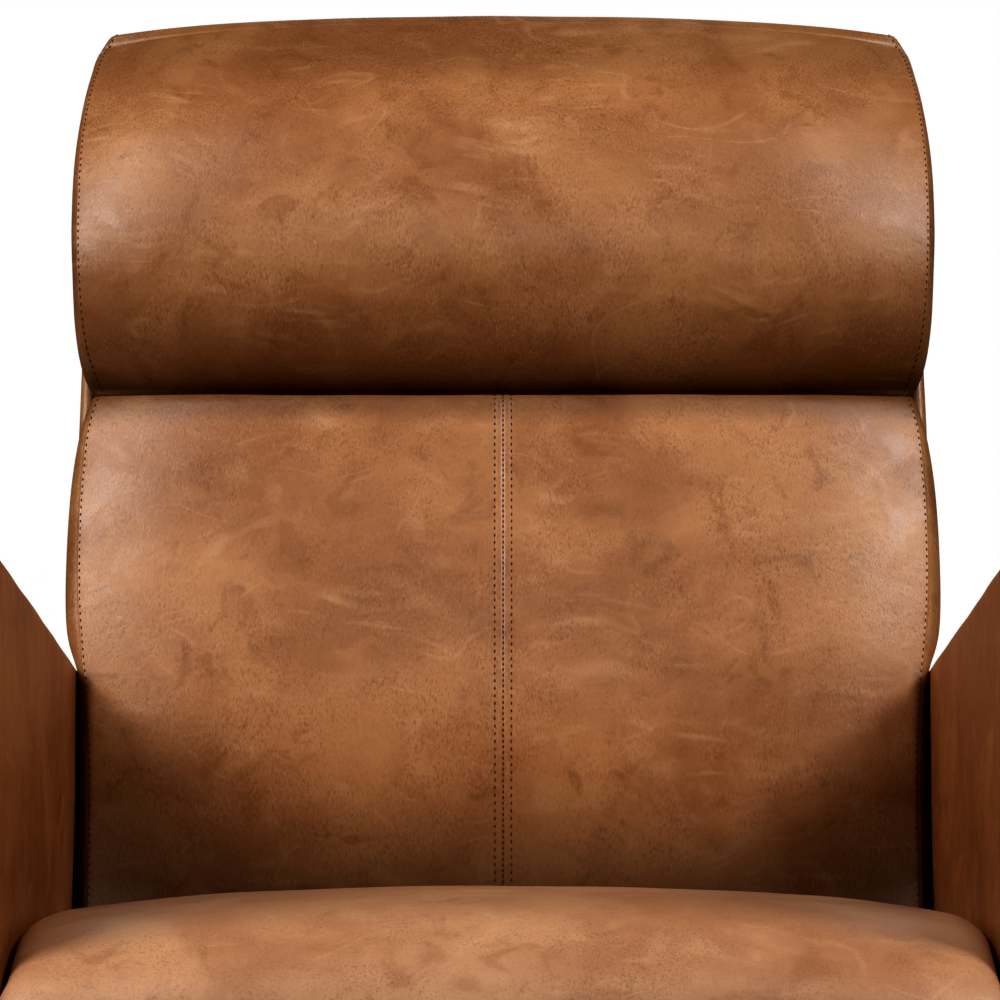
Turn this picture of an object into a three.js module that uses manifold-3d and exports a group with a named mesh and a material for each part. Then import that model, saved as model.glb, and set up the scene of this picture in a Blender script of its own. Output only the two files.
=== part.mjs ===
// A swivel rocker: a padded seat, back and head pillow between two arms, rocking on a sprung axle
// over a ring base that it turns on. Millimetres, +Z up, the sitter faces -Y, +X is to the right
// as seen from in front, and the origin is on the floor on the swivel axis.
import * as THREE from 'three';
import { mergeVertices } from 'three/addons/utils/BufferGeometryUtils.js';
import Module from 'manifold-3d';

const wasm = await Module();
wasm.setup();

const degree = Math.PI / 180;

// Clearances
const fit = 0.3; // between pieces that touch, and round pins in their holes
const easeGap = 3; // between soft pieces that face each other

// Base ring on the floor
const ringRadius = 262;
const ringTube = 13;
const stripThickness = 6;
const stripHalfWidth = 10;
const stripHold = 40 * degree; // how far round the tube the floor strip reaches, each way
const ringSteps = 40;
const tubeSteps = 12;
const roundSteps = 20;
const raceSteps = 40;

// Spider and hub that carry the swivel bearing
const spokeWidth = 36;
const spokeDepth = 14;
const hubRadius = 30;
const hubTop = 112;
const hubLength = 66;
const hubPlateRadius = 60;
const hubPlateThickness = 6;

// Swivel bearing and its king bolt
const raceRadius = 95;
const raceBore = 40;
const raceThickness = 4.4;
const grooveDepth = 2;
const ballRadius = 5;
const ballCircle = 78;
const ballCount = 10;
const cageHalfWidth = 8;
const cageThickness = 2.6;
const kingRadius = 8;
const boltHeadHeight = 10;
const kingHeadRadius = 14;
const kingNutHeight = 12;
const kingTail = 3;

// Rocker base, which turns on the bearing and holds the axle
const trayHalfWidth = 115;
const trayThickness = 4;
const earThickness = 5;
const axleRise = 58; // axle centre above the tray
const axleRadius = 8;
const axleTail = 5;
const lowerEarRadius = 15;
const lowerEarFoot = 45;
const clipThickness = 2;
const clipRadius = 13;

// Rocking stops, with rubber on them
const forwardRock = 8 * degree;
const backwardRock = 12 * degree;
const stopReach = 112;
const stopHalfWidth = 88;
const stopThickness = 5;
const rubberThickness = 8;
const rubberLip = 3;
const rubberDrop = 12;

// Seat plate, which rocks on the axle
const plateHalfWidth = 150;
const plateOverhang = 12; // past the stops
const plateThickness = 5;
const plateRise = 22; // underside above the axle
const upperEarInner = 86;
const upperEarRadius = 18;
const upperEarFoot = 40;
const bushRadius = 12;
const bushFlange = 15;
const bushFlangeThickness = 2.4;
const bushTail = 2;

// Rocking springs between tray and seat plate
const coilRadius = 14;
const coilWire = 3;
const coilTurns = 4.5;
const coilStepsPerTurn = 8;
const coilSides = 5;
const coilX = 55;
const coilStopGap = 17.2; // to the stop rubbers

// Arms
const armInner = 277.5; // half the width between the arms
const armThickness = 92;
const armBottom = 150;
const armFrontTopY = -388;
const armFrontTopZ = 679;
const armFrontFootY = -340;
const armRearTopY = 240;
const armRearFootY = 195;
const armSlope = 5.2 * degree; // the top falls this much towards the rear
const armFrontCorner = 26;
const armRearCorner = 45;
const armEdgeRound = 9;
const armWall = 16;
const armBoard = 22;
const armTopBoard = 20;
const armBoltRadius = 5;
const armBoltHeadRadius = 9;
const armBoltHeadHeight = 5;
const armBoltGrip = 18; // into the arm's board
const armBoltInset = 45; // behind the front rail
const armBoltSpacing = 180;
const armBoltDrop = 45; // below the tops of the rails

// Seat frame
const railThickness = 22;
const railTop = 330;
const frontRailSetback = 23; // behind the feet of the arms' front edges
const rearRailY = 180; // rear face
const mountRailInner = 100;
const mountRailWidth = 45;
const mountRailHeight = 45;
const mountBoltRadius = 4;
const mountBoltHeadRadius = 7;
const mountBoltHeadHeight = 6;
const mountBoltInset = 24.8; // from the front and rear edges of the seat plate
const panelBottom = 165;
const frontPanelRecess = 10; // behind the front edges of the arms
const rearPanelThickness = 12;
const dustThickness = 1.2;
const dustCutMargin = 10;

// Sinuous seat springs
const seatWire = 3.7;
const seatSpringHalfWidth = 25;
const seatSpringCount = 5;
const seatSpringRows = 16;
const seatSpringHold = 5; // from the outer face of each rail
const seatSpringSideGap = 36.3; // from the outer springs to the stiles of the back

// Seat cushion
const seatSideGap = 2.5; // to the arms
const seatFrontY = -401;
const seatNoseRise = 100; // above the tops of the rails, as the next three
const seatCrestRise = 165;
const seatRearRise = 157;
const seatShoulderRise = 162;
const seatCrestY = -145;
const seatShoulderY = -300;
const seatCrown = 14; // fall from the middle to the side roll
const seatRoll = 20;
const seatNoseRoll = 22;
const seatNoseTuck = 6;
const seatNoseUnder = 30;

// Back: its own frame, leaning back, with u up the back and v through it to the rear
const backTilt = 17 * degree;
const backRailGap = 3.6; // from the stiles to the rear rail
const backSideGap = 1.5; // to the arms
const backFootGap = 1; // above the underside of the seat cushion
const backArmGap = 10.5; // from the arms up to where the back is wider
const cushionCrown = -12; // how far forward the middle of the lower cushion stands
const cushionRear = 42.9;
const cushionRise = 156; // above the arms
const cushionSpread = 10; // how much wider each side is above the arms
const pillowGap = 4; // from the lower cushion up to the pillow
const pillowHeight = 286;
const pillowSpread = 1; // past the lower cushion
const pillowCrown = -46;
const padCrown = 13; // how far the middle of a pad's face stands out from its edges
const padEdgeInset = 8;
const padSide = 16;
const strapThickness = 1.5;
const strapHalfHeight = 28;
const strapHeights = [150, 340, 600]; // above the foot of the cushion
const stileWidth = 22;
const stileDepth = 55;
const stileFootRise = 24; // above the underside of the seat frame
const stileTopGap = 6; // to the wall of the outside back
const backRailHeight = 50;
const bottomRailRise = 20; // above the foot of the cushion
const middleRailDrop = 32; // below the top of the lower cushion
const shellSpread = 6; // how much wider each side is above the arms
const shellWall = 12;
const shellDrop = 9; // below the top of the pillow
const shellCorner = 28;
const shellBelly = 30; // how far the outside back bulges

// Steel brackets that drop the back onto the seat frame
const bladeThickness = 3;
const bladeHalfWidth = 13;
const bladeFootRise = 3; // above the foot of the stile
const bladeInset = 10; // from the rear of the stile
const sleeveWall = 3;
const sleeveRise = 6; // above the side rail
const sleeveLength = 76;
const sleevePastBlade = 13;

// Values that follow from the ones above
const ringCentreZ = stripThickness + fit + ringTube;
const lowerRaceZ = hubTop + fit;
const ballZ = lowerRaceZ + raceThickness - grooveDepth + fit + ballRadius;
const upperRaceZ = ballZ + ballRadius + fit - grooveDepth;
const trayZ = upperRaceZ + raceThickness + fit;
const trayTop = trayZ + trayThickness;
const axleZ = trayTop + axleRise;
const plateZ = axleZ + plateRise;
const frameZ = plateZ + plateThickness + fit;
const stopHalfThickness = stopThickness / 2 + fit + rubberLip;
const plateHalfDepth = stopReach + stopHalfThickness + plateOverhang;
const mountBoltY = plateHalfDepth - mountBoltInset;
const trayHalfDepth = stopReach + stopThickness / 2;
const coilY = stopReach - stopHalfThickness - coilStopGap - coilWire - coilRadius;
const upperEarOuter = upperEarInner + earThickness;
const lowerEarInner = upperEarOuter + fit + bushFlangeThickness + fit;
const lowerEarOuter = lowerEarInner + earThickness;
const frontRailY = armFrontFootY + frontRailSetback;
const railInsideFront = frontRailY + railThickness;
const railInsideRear = rearRailY - railThickness;
const armBoltYs = [railInsideFront + armBoltInset, railInsideFront + armBoltInset + armBoltSpacing];
const armBoltZ = railTop - armBoltDrop;
const sideRailOuter = armInner - fit;
const sideRailInner = sideRailOuter - railThickness;
const seatSpringZ = railTop + fit;
const seatFootZ = seatSpringZ + seatWire + fit;
const seatHalfWidth = armInner - seatSideGap;
const seatNoseZ = railTop + seatNoseRise;
const seatCrestZ = railTop + seatCrestRise;
const seatRearZ = railTop + seatRearRise;
const seatShoulderZ = railTop + seatShoulderRise;
const bladeOuter = sideRailInner - fit;
const bladeInner = bladeOuter - bladeThickness;
const stileOuter = bladeInner - fit - sleeveWall - fit;
const stileInner = stileOuter - stileWidth;
const strapV = cushionRear + fit;
const stileFront = strapV + strapThickness + fit;
const stileRear = stileFront + stileDepth;
const seatSpringPitch = 2 * (stileInner - seatSpringSideGap - seatSpringHalfWidth) / (seatSpringCount - 1);
const backZ = seatCrestZ;
const stileAtRail = backHeight(railTop, stileRear) * Math.sin(backTilt) + stileRear * Math.cos(backTilt);
const backY = railInsideRear - backRailGap - stileAtRail;
const armTopU = backHeight(armTopZ(backY + cushionRear) + backArmGap, cushionRear);
const cushionTop = armTopU + cushionRise;
const pillowFoot = cushionTop + pillowGap;
const pillowTop = pillowFoot + pillowHeight;
const shellTop = pillowTop - shellDrop;
const stileTop = shellTop - shellWall - stileTopGap;
const shellFront = stileFront + fit;
const shellRear = stileRear + fit + shellWall;
const shellFootBelly = shellBelly * 0.3;
const cushionFoot = backHeight(seatFootZ + backFootGap, shellRear + shellFootBelly);
const cushionLowHalf = armInner - backSideGap;
const cushionHighHalf = cushionLowHalf + cushionSpread;
const pillowHalf = cushionHighHalf + pillowSpread;
const shellLowHalf = armInner - backSideGap;
const shellHalfWidth = shellLowHalf + shellSpread;
const stileFoot = backHeight(frameZ + stileFootRise, stileRear);
const bladeFoot = stileFoot + bladeFootRise;
const bladeV = stileRear - bladeInset - bladeHalfWidth;
const sleeveFoot = backHeight(railTop + sleeveRise, bladeV + bladeHalfWidth + fit + sleeveWall);
const sleeveTop = sleeveFoot + sleeveLength;
const bladeTop = sleeveTop - sleevePastBlade;

// The height up the leaning back, at depth v through it, that lies at height z above the floor
function backHeight(z, v) {
  return (z - backZ + v * Math.sin(backTilt)) / Math.cos(backTilt);
}

const finishes = {
  leather: { color: 0xae7049, roughness: 0.5, metalness: 0 },
  wood: { color: 0xc49a66, roughness: 0.7, metalness: 0 },
  blackSteel: { color: 0x1d1d1f, roughness: 0.45, metalness: 0.6 },
  zincSteel: { color: 0xb4b8bb, roughness: 0.35, metalness: 0.9 },
  rubber: { color: 0x17171a, roughness: 0.85, metalness: 0 },
  nylon: { color: 0xe6e2d6, roughness: 0.5, metalness: 0 },
  webbing: { color: 0x2a2a2c, roughness: 0.9, metalness: 0 },
  liner: { color: 0x202022, roughness: 0.95, metalness: 0 },
};

// Only positions, with shared corners merged and the slivers at poles dropped
function bare(geometry) {
  const copy = geometry.clone();
  copy.deleteAttribute('normal');
  copy.deleteAttribute('uv');
  const merged = mergeVertices(copy, 1e-3);
  const index = merged.index.array;
  const kept = [];
  for (let i = 0; i < index.length; i += 3) {
    const [a, b, c] = [index[i], index[i + 1], index[i + 2]];
    if (a !== b && b !== c && c !== a) kept.push(a, b, c);
  }
  merged.setIndex(kept);
  return merged;
}

// Turned inside out if its faces point inwards
function outward(geometry) {
  const result = bare(geometry);
  const corner = result.attributes.position;
  const index = result.index.array;
  const [a, b, c] = [new THREE.Vector3(), new THREE.Vector3(), new THREE.Vector3()];
  let volume = 0;
  for (let i = 0; i < index.length; i += 3) {
    a.fromBufferAttribute(corner, index[i]);
    b.fromBufferAttribute(corner, index[i + 1]);
    c.fromBufferAttribute(corner, index[i + 2]);
    volume += a.dot(b.cross(c));
  }
  if (volume < 0) {
    for (let i = 0; i < index.length; i += 3) {
      [index[i], index[i + 1]] = [index[i + 1], index[i]];
    }
  }
  return result;
}

function toSolid(geometry) {
  const closed = outward(geometry);
  return new wasm.Manifold(new wasm.Mesh({
    numProp: 3,
    vertProperties: Float32Array.from(closed.attributes.position.array),
    triVerts: Uint32Array.from(closed.index.array),
  }));
}

function toGeometry(solid) {
  const mesh = solid.getMesh();
  const geometry = new THREE.BufferGeometry();
  geometry.setAttribute('position', new THREE.BufferAttribute(mesh.vertProperties, 3));
  geometry.setIndex(Array.from(mesh.triVerts));
  return geometry;
}

function join(...geometries) {
  return toGeometry(geometries.map(toSolid).reduce((whole, next) => whole.add(next)));
}

function cut(geometry, ...tools) {
  return toGeometry(tools.map(toSolid).reduce((whole, tool) => whole.subtract(tool), toSolid(geometry)));
}

// Basic shapes
function block(x, y, z) {
  const box = new THREE.BoxGeometry(x[1] - x[0], y[1] - y[0], z[1] - z[0]);
  return box.translate((x[0] + x[1]) / 2, (y[0] + y[1]) / 2, (z[0] + z[1]) / 2);
}

function uprightRod(radius, z, x = 0, y = 0, sides = roundSteps) {
  const rod = new THREE.CylinderGeometry(radius, radius, z[1] - z[0], sides);
  return rod.rotateX(Math.PI / 2).translate(x, y, (z[0] + z[1]) / 2);
}

function crossRod(radius, x, y, z, sides = roundSteps) {
  const rod = new THREE.CylinderGeometry(radius, radius, x[1] - x[0], sides);
  return rod.rotateZ(Math.PI / 2).translate((x[0] + x[1]) / 2, y, z);
}

// An outline of [radius, height] pairs turned about the Z axis
function turned(outline, steps) {
  const points = [...outline, outline[0]].map(([radius, z]) => new THREE.Vector2(radius, z));
  return outward(new THREE.LatheGeometry(points, steps).rotateX(Math.PI / 2));
}

// A shape drawn in Y and Z, pushed along X, with its long edges rounded by round
function acrossX(shape, x, round = 0) {
  const geometry = new THREE.ExtrudeGeometry(shape, {
    depth: x[1] - x[0] - 2 * round,
    bevelEnabled: round > 0,
    bevelThickness: round,
    bevelSize: round,
    bevelOffset: -round,
    bevelSegments: 2,
    curveSegments: 5,
  });
  const axes = new THREE.Matrix4().makeBasis(
    new THREE.Vector3(0, 1, 0), new THREE.Vector3(0, 0, 1), new THREE.Vector3(1, 0, 0));
  return geometry.applyMatrix4(axes).translate(x[0] + round, 0, 0);
}

function polygon(points) {
  return new THREE.Shape(points.map(([a, b]) => new THREE.Vector2(a, b)));
}

// A closed skin through outlines of equally many points, each set at its own station
function loft(stations, place) {
  const corners = [];
  const faces = [];
  const count = stations[0].outline.length;
  for (const { at, outline } of stations) {
    for (const point of outline) corners.push(...place(point, at));
  }
  for (let s = 0; s < stations.length - 1; s += 1) {
    for (let i = 0; i < count; i += 1) {
      const [a, b] = [s * count + i, s * count + ((i + 1) % count)];
      faces.push(a, b, b + count, a, b + count, a + count);
    }
  }
  for (const last of [false, true]) {
    const first = last ? corners.length / 3 - count : 0;
    const flat = stations.at(last ? -1 : 0).outline.map(([a, b]) => new THREE.Vector2(a, b));
    const flipped = last === THREE.ShapeUtils.isClockWise(flat);
    for (const [a, b, c] of THREE.ShapeUtils.triangulateShape(flat, [])) {
      faces.push(first + a, first + (flipped ? c : b), first + (flipped ? b : c));
    }
  }
  const geometry = new THREE.BufferGeometry();
  geometry.setAttribute('position', new THREE.Float32BufferAttribute(corners, 3));
  geometry.setIndex(faces);
  return outward(geometry);
}

function bySide(side, inner, outer) {
  return side > 0 ? [inner, outer] : [-outer, -inner];
}

function arc(centre, radius, from, to, steps) {
  return Array.from({ length: steps + 1 }, (_, i) => {
    const angle = from + (to - from) * i / steps;
    return [centre[0] + radius * Math.cos(angle), centre[1] + radius * Math.sin(angle)];
  });
}

function addPiece(parent, name, finish, geometry) {
  const mesh = new THREE.Mesh(geometry, new THREE.MeshStandardMaterial(finishes[finish]));
  mesh.name = name;
  parent.add(mesh);
}

const sides = [['left', -1], ['right', 1]];

const chair = new THREE.Group();
const base = new THREE.Group();
const bearing = new THREE.Group();
const rockerBase = new THREE.Group();
const rockingSeat = new THREE.Group();
const back = new THREE.Group();
chair.add(base, bearing, rockerBase, rockingSeat);
rockingSeat.add(back);

// The floor strip, the ring tube in it, and the spider with its hub
function ringTorus(tube) {
  return new THREE.TorusGeometry(ringRadius, tube, tubeSteps, ringSteps).translate(0, 0, ringCentreZ);
}

function floorStrip() {
  const hold = arc([ringRadius, ringCentreZ], ringTube + fit,
    -Math.PI / 2 + stripHold, -Math.PI / 2 - stripHold, 4);
  const lipZ = hold[0][1];
  return turned([
    [ringRadius - stripHalfWidth, 0], [ringRadius + stripHalfWidth, 0],
    [ringRadius + stripHalfWidth, lipZ], ...hold, [ringRadius - stripHalfWidth, lipZ],
  ], ringSteps);
}

function spider() {
  const hubBottom = hubTop - hubLength;
  const plateBottom = hubTop - hubPlateThickness;
  const hub = turned([
    [0, hubBottom], [hubRadius, hubBottom], [hubRadius, plateBottom],
    [hubPlateRadius, plateBottom], [hubPlateRadius, hubTop], [0, hubTop],
  ], roundSteps);
  const rootZ = (hubBottom + plateBottom) / 2;
  const halfDepth = spokeDepth / 2;
  const bar = polygon([
    [-ringRadius, ringCentreZ - halfDepth], [-hubRadius, rootZ - halfDepth], [hubRadius, rootZ - halfDepth],
    [ringRadius, ringCentreZ - halfDepth], [ringRadius, ringCentreZ + halfDepth],
    [hubRadius, rootZ + halfDepth], [-hubRadius, rootZ + halfDepth], [-ringRadius, ringCentreZ + halfDepth],
  ]);
  const alongY = acrossX(bar, [-spokeWidth / 2, spokeWidth / 2]);
  const alongX = alongY.clone().rotateZ(Math.PI / 2);
  const kingBore = uprightRod(kingRadius + fit, [hubBottom - 1, hubTop + 1]);
  return cut(join(hub, alongY, alongX), ringTorus(ringTube + fit), kingBore);
}

addPiece(base, 'floor_strip', 'rubber', floorStrip());
addPiece(base, 'base_ring', 'blackSteel', ringTorus(ringTube));
addPiece(base, 'base_spider', 'blackSteel', spider());

// Two grooved races with a ring of caged balls between them
function race(flatZ, grooveZ) {
  const reach = Math.sqrt((ballRadius + fit) ** 2 - (ballRadius + fit - grooveDepth) ** 2);
  const half = Math.asin(reach / (ballRadius + fit));
  const middle = flatZ < grooveZ ? -Math.PI / 2 : Math.PI / 2;
  const outwards = flatZ < grooveZ ? 1 : -1;
  const turn = half * outwards;
  const groove = arc([ballCircle, ballZ], ballRadius + fit, middle + turn, middle - turn, 4);
  return turned([
    [raceBore, flatZ], [raceRadius, flatZ], [raceRadius, grooveZ], ...groove, [raceBore, grooveZ],
  ], raceSteps);
}

function ballCage() {
  const cageZ = ballZ - cageThickness / 2;
  const cage = turned([
    [ballCircle - cageHalfWidth, cageZ], [ballCircle + cageHalfWidth, cageZ],
    [ballCircle + cageHalfWidth, cageZ + cageThickness], [ballCircle - cageHalfWidth, cageZ + cageThickness],
  ], raceSteps);
  const balls = Array.from({ length: ballCount }, (_, i) => {
    const angle = 2 * Math.PI * i / ballCount;
    const ball = new THREE.IcosahedronGeometry(ballRadius, 1);
    return ball.translate(ballCircle * Math.cos(angle), ballCircle * Math.sin(angle), ballZ);
  });
  return join(cage, ...balls);
}

addPiece(base, 'lower_race', 'zincSteel', race(lowerRaceZ, lowerRaceZ + raceThickness));
addPiece(bearing, 'ball_cage', 'nylon', ballCage());
addPiece(rockerBase, 'upper_race', 'zincSteel', race(upperRaceZ + raceThickness, upperRaceZ));

// The rocker base: a tray with two ears for the axle and two upturned stops
function stopTop(angle) {
  const reach = stopReach + stopHalfThickness;
  return axleZ + plateRise / Math.cos(angle) - reach * Math.tan(angle) - fit;
}

function lowerEar(side) {
  const shape = new THREE.Shape();
  shape.moveTo(-lowerEarFoot, trayZ + fit);
  shape.lineTo(lowerEarFoot, trayZ + fit);
  shape.lineTo(lowerEarRadius, axleZ);
  shape.absarc(0, axleZ, lowerEarRadius, 0, Math.PI);
  return acrossX(shape, bySide(side, lowerEarInner, lowerEarOuter));
}

function stopPlate(side, top) {
  const y = bySide(side, trayHalfDepth - stopThickness, trayHalfDepth);
  return block([-stopHalfWidth, stopHalfWidth], y, [trayZ + fit, top - rubberThickness - fit]);
}

function tray() {
  const plate = block([-trayHalfWidth, trayHalfWidth], [-trayHalfDepth, trayHalfDepth], [trayZ, trayTop]);
  const body = join(plate, lowerEar(-1), lowerEar(1),
    stopPlate(-1, stopTop(forwardRock)), stopPlate(1, stopTop(backwardRock)));
  const axleBore = crossRod(axleRadius + fit, [-lowerEarOuter - 1, lowerEarOuter + 1], 0, axleZ);
  const kingBore = uprightRod(kingRadius + fit, [trayZ - 1, trayTop + 1]);
  return cut(body, axleBore, kingBore);
}

function stopRubber(side, top) {
  const outer = block([-stopHalfWidth, stopHalfWidth],
    bySide(side, stopReach - stopHalfThickness, stopReach + stopHalfThickness),
    [top - rubberThickness - rubberDrop, top]);
  const slotHalf = stopThickness / 2 + fit;
  const slot = block([-stopHalfWidth - 1, stopHalfWidth + 1],
    bySide(side, stopReach - slotHalf, stopReach + slotHalf),
    [top - rubberThickness - rubberDrop - 1, top - rubberThickness]);
  return cut(outer, slot);
}

function kingBolt() {
  const nutBottom = hubTop - hubLength - fit - kingNutHeight;
  const shank = uprightRod(kingRadius, [nutBottom - kingTail, trayTop + fit + 1]);
  const head = uprightRod(kingHeadRadius, [trayTop + fit, trayTop + fit + boltHeadHeight], 0, 0, 6);
  return join(shank, head);
}

function kingNut() {
  const top = hubTop - hubLength - fit;
  const body = uprightRod(kingHeadRadius, [top - kingNutHeight, top], 0, 0, 6);
  return cut(body, uprightRod(kingRadius + fit, [top - kingNutHeight - 1, top + 1]));
}

addPiece(rockerBase, 'rocker_base', 'blackSteel', tray());
addPiece(rockerBase, 'stop_rubber_front', 'rubber', stopRubber(-1, stopTop(forwardRock)));
addPiece(rockerBase, 'stop_rubber_rear', 'rubber', stopRubber(1, stopTop(backwardRock)));
addPiece(rockerBase, 'king_bolt', 'zincSteel', kingBolt());
addPiece(rockerBase, 'king_nut', 'zincSteel', kingNut());

// The axle with its clips, and the seat plate whose bushed ears turn on it
const clipInner = lowerEarOuter + fit;
const axleHalfLength = clipInner + clipThickness + axleTail;

function axleClip(side) {
  const clipOuter = clipInner + clipThickness;
  const disc = crossRod(clipRadius, bySide(side, clipInner, clipOuter), 0, axleZ);
  return cut(disc, crossRod(axleRadius + fit, bySide(side, clipInner - 1, clipOuter + 1), 0, axleZ));
}

function bush(side) {
  const inner = upperEarInner - bushTail;
  const flangeInner = upperEarOuter + fit;
  const sleeve = crossRod(bushRadius, bySide(side, inner, flangeInner + 1), 0, axleZ);
  const flange = crossRod(bushFlange, bySide(side, flangeInner, flangeInner + bushFlangeThickness), 0, axleZ);
  const bore = crossRod(axleRadius + fit, bySide(side, inner - 1, lowerEarInner), 0, axleZ);
  return cut(join(sleeve, flange), bore);
}

function upperEar(side) {
  const shape = new THREE.Shape();
  shape.moveTo(upperEarFoot, plateZ + fit);
  shape.lineTo(-upperEarFoot, plateZ + fit);
  shape.lineTo(-upperEarRadius, axleZ);
  shape.absarc(0, axleZ, upperEarRadius, Math.PI, 2 * Math.PI);
  return acrossX(shape, bySide(side, upperEarInner, upperEarOuter));
}

const mountBoltX = mountRailInner + mountRailWidth / 2;
const corners = [['front_left', -1, -1], ['front_right', 1, -1], ['rear_left', -1, 1], ['rear_right', 1, 1]];

function seatPlate() {
  const plate = block([-plateHalfWidth, plateHalfWidth], [-plateHalfDepth, plateHalfDepth],
    [plateZ, plateZ + plateThickness]);
  const bushBore = crossRod(bushRadius + fit, [-upperEarOuter - 1, upperEarOuter + 1], 0, axleZ);
  const boltHoles = corners.map(([, sx, sy]) => uprightRod(mountBoltRadius + fit,
    [plateZ - 1, plateZ + plateThickness + 1], sx * mountBoltX, sy * mountBoltY, 12));
  return cut(join(plate, upperEar(-1), upperEar(1)), bushBore, ...boltHoles);
}

addPiece(rockerBase, 'rocker_axle', 'zincSteel',
  crossRod(axleRadius, [-axleHalfLength, axleHalfLength], 0, axleZ));
for (const [name, side] of sides) {
  addPiece(rockerBase, `axle_clip_${name}`, 'zincSteel', axleClip(side));
  addPiece(rockingSeat, `bush_${name}`, 'nylon', bush(side));
}
addPiece(rockingSeat, 'seat_plate', 'blackSteel', seatPlate());

// Four coil springs that hold the seat level
class Coil extends THREE.Curve {
  getPoint(t) {
    const angle = 2 * Math.PI * coilTurns * t;
    const low = trayTop + fit + coilWire;
    const high = plateZ - fit - coilWire;
    const [x, y] = [coilRadius * Math.cos(angle), coilRadius * Math.sin(angle)];
    return new THREE.Vector3(x, y, low + (high - low) * t);
  }
}

function rockSpring(x, y) {
  const wire = polygon(arc([0, 0], coilWire, 0, 2 * Math.PI * (1 - 1 / coilSides), coilSides - 1));
  const steps = Math.round(coilTurns * coilStepsPerTurn);
  const coil = new THREE.ExtrudeGeometry(wire, { steps, bevelEnabled: false, extrudePath: new Coil() });
  return outward(coil.translate(x, y, 0));
}

for (const [name, sx, sy] of corners) {
  addPiece(rockerBase, `rock_spring_${name}`, 'zincSteel', rockSpring(sx * coilX, sy * coilY));
}

// The wooden seat frame
const mountRailTop = frameZ + mountRailHeight;

function mountBolt(sx, sy) {
  const [x, y] = [sx * mountBoltX, sy * mountBoltY];
  const headTop = plateZ - fit;
  const shank = uprightRod(mountBoltRadius, [headTop - 1, mountRailTop - mountBoltRadius], x, y, 12);
  return join(shank, uprightRod(mountBoltHeadRadius, [headTop - mountBoltHeadHeight, headTop], x, y, 6));
}

function mountRail(side) {
  const rail = block(bySide(side, mountRailInner, mountRailInner + mountRailWidth),
    [railInsideFront + fit, railInsideRear - fit], [frameZ, mountRailTop]);
  const holes = [-1, 1].map((sy) => uprightRod(mountBoltRadius + fit,
    [frameZ - 1, mountRailTop - mountBoltRadius + fit], side * mountBoltX, sy * mountBoltY, 12));
  return cut(rail, ...holes);
}

function sideRail(side) {
  const x = bySide(side, sideRailInner, sideRailOuter);
  const holes = armBoltYs.map((y) => crossRod(armBoltRadius + fit, [x[0] - 1, x[1] + 1], y, armBoltZ, 12));
  return cut(block(x, [frontRailY, rearRailY], [frameZ, railTop]), ...holes);
}

function endRail(y) {
  return block([-sideRailInner + fit, sideRailInner - fit], y, [frameZ, railTop]);
}

for (const [name, sx, sy] of corners) {
  addPiece(rockingSeat, `mount_bolt_${name}`, 'zincSteel', mountBolt(sx, sy));
}
for (const [name, side] of sides) {
  addPiece(rockingSeat, `mount_rail_${name}`, 'wood', mountRail(side));
  addPiece(rockingSeat, `side_rail_${name}`, 'wood', sideRail(side));
}
addPiece(rockingSeat, 'front_rail', 'wood', endRail([frontRailY, railInsideFront]));
addPiece(rockingSeat, 'rear_rail', 'wood', endRail([railInsideRear, rearRailY]));

// Sinuous springs: one flat wave of wire each, from the front rail to the rear rail
function seatSpring(x) {
  const start = frontRailY + seatSpringHold;
  const step = (rearRailY - seatSpringHold - seatWire - start) / seatSpringRows;
  const rowY = (row) => start + row * step;
  const [leftX, rightX] = [x - seatSpringHalfWidth, x + seatSpringHalfWidth];
  const left = [[leftX, rowY(0)]];
  const right = [[rightX, rowY(0)]];
  for (let row = 0; row < seatSpringRows; row += 1) {
    // Rows are linked on alternate sides, which leaves a notch on the other side
    const linkedLeft = row % 2 === 0;
    const edge = linkedLeft ? right : left;
    const [x0, x1] = linkedLeft ? [rightX, leftX + seatWire] : [leftX, rightX - seatWire];
    const [y0, y1] = [rowY(row) + seatWire, rowY(row + 1)];
    edge.push([x0, y0], [x1, y0], [x1, y1], [x0, y1]);
  }
  left.push([leftX, rowY(seatSpringRows) + seatWire]);
  right.push([rightX, rowY(seatSpringRows) + seatWire]);
  const wave = polygon([...left, ...right.reverse()]);
  const spring = new THREE.ExtrudeGeometry(wave, { depth: seatWire, bevelEnabled: false });
  return spring.translate(0, 0, seatSpringZ);
}

for (let i = 0; i < seatSpringCount; i += 1) {
  const x = (i - (seatSpringCount - 1) / 2) * seatSpringPitch;
  addPiece(rockingSeat, `seat_spring_${i + 1}`, 'blackSteel', seatSpring(x));
}

// Front and rear panels and the cloth under the frame
function frontPanel() {
  const top = seatFootZ - fit;
  const rearFace = frontRailY - fit;
  const heights = [panelBottom, (panelBottom + top) / 2, top];
  const face = heights.map((z) => [armFrontY(z) + frontPanelRecess, z]);
  const outline = polygon([[rearFace, panelBottom], ...face, [rearFace, top]]);
  return acrossX(outline, [-sideRailOuter, sideRailOuter]);
}

function dustCover() {
  const z = [frameZ - fit - dustThickness, frameZ - fit];
  const cloth = block([-sideRailOuter, sideRailOuter], [frontRailY, rearRailY], z);
  const holeX = plateHalfWidth + dustCutMargin;
  const holeY = plateHalfDepth + dustCutMargin;
  return cut(cloth, block([-holeX, holeX], [-holeY, holeY], [z[0] - 1, z[1] + 1]));
}

addPiece(rockingSeat, 'front_panel', 'leather', frontPanel());
addPiece(rockingSeat, 'rear_panel', 'leather', block([-sideRailOuter, sideRailOuter],
  [rearRailY + fit, rearRailY + fit + rearPanelThickness], [panelBottom, seatFootZ + backFootGap - fit]));
addPiece(rockingSeat, 'dust_cover', 'liner', dustCover());

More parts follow.
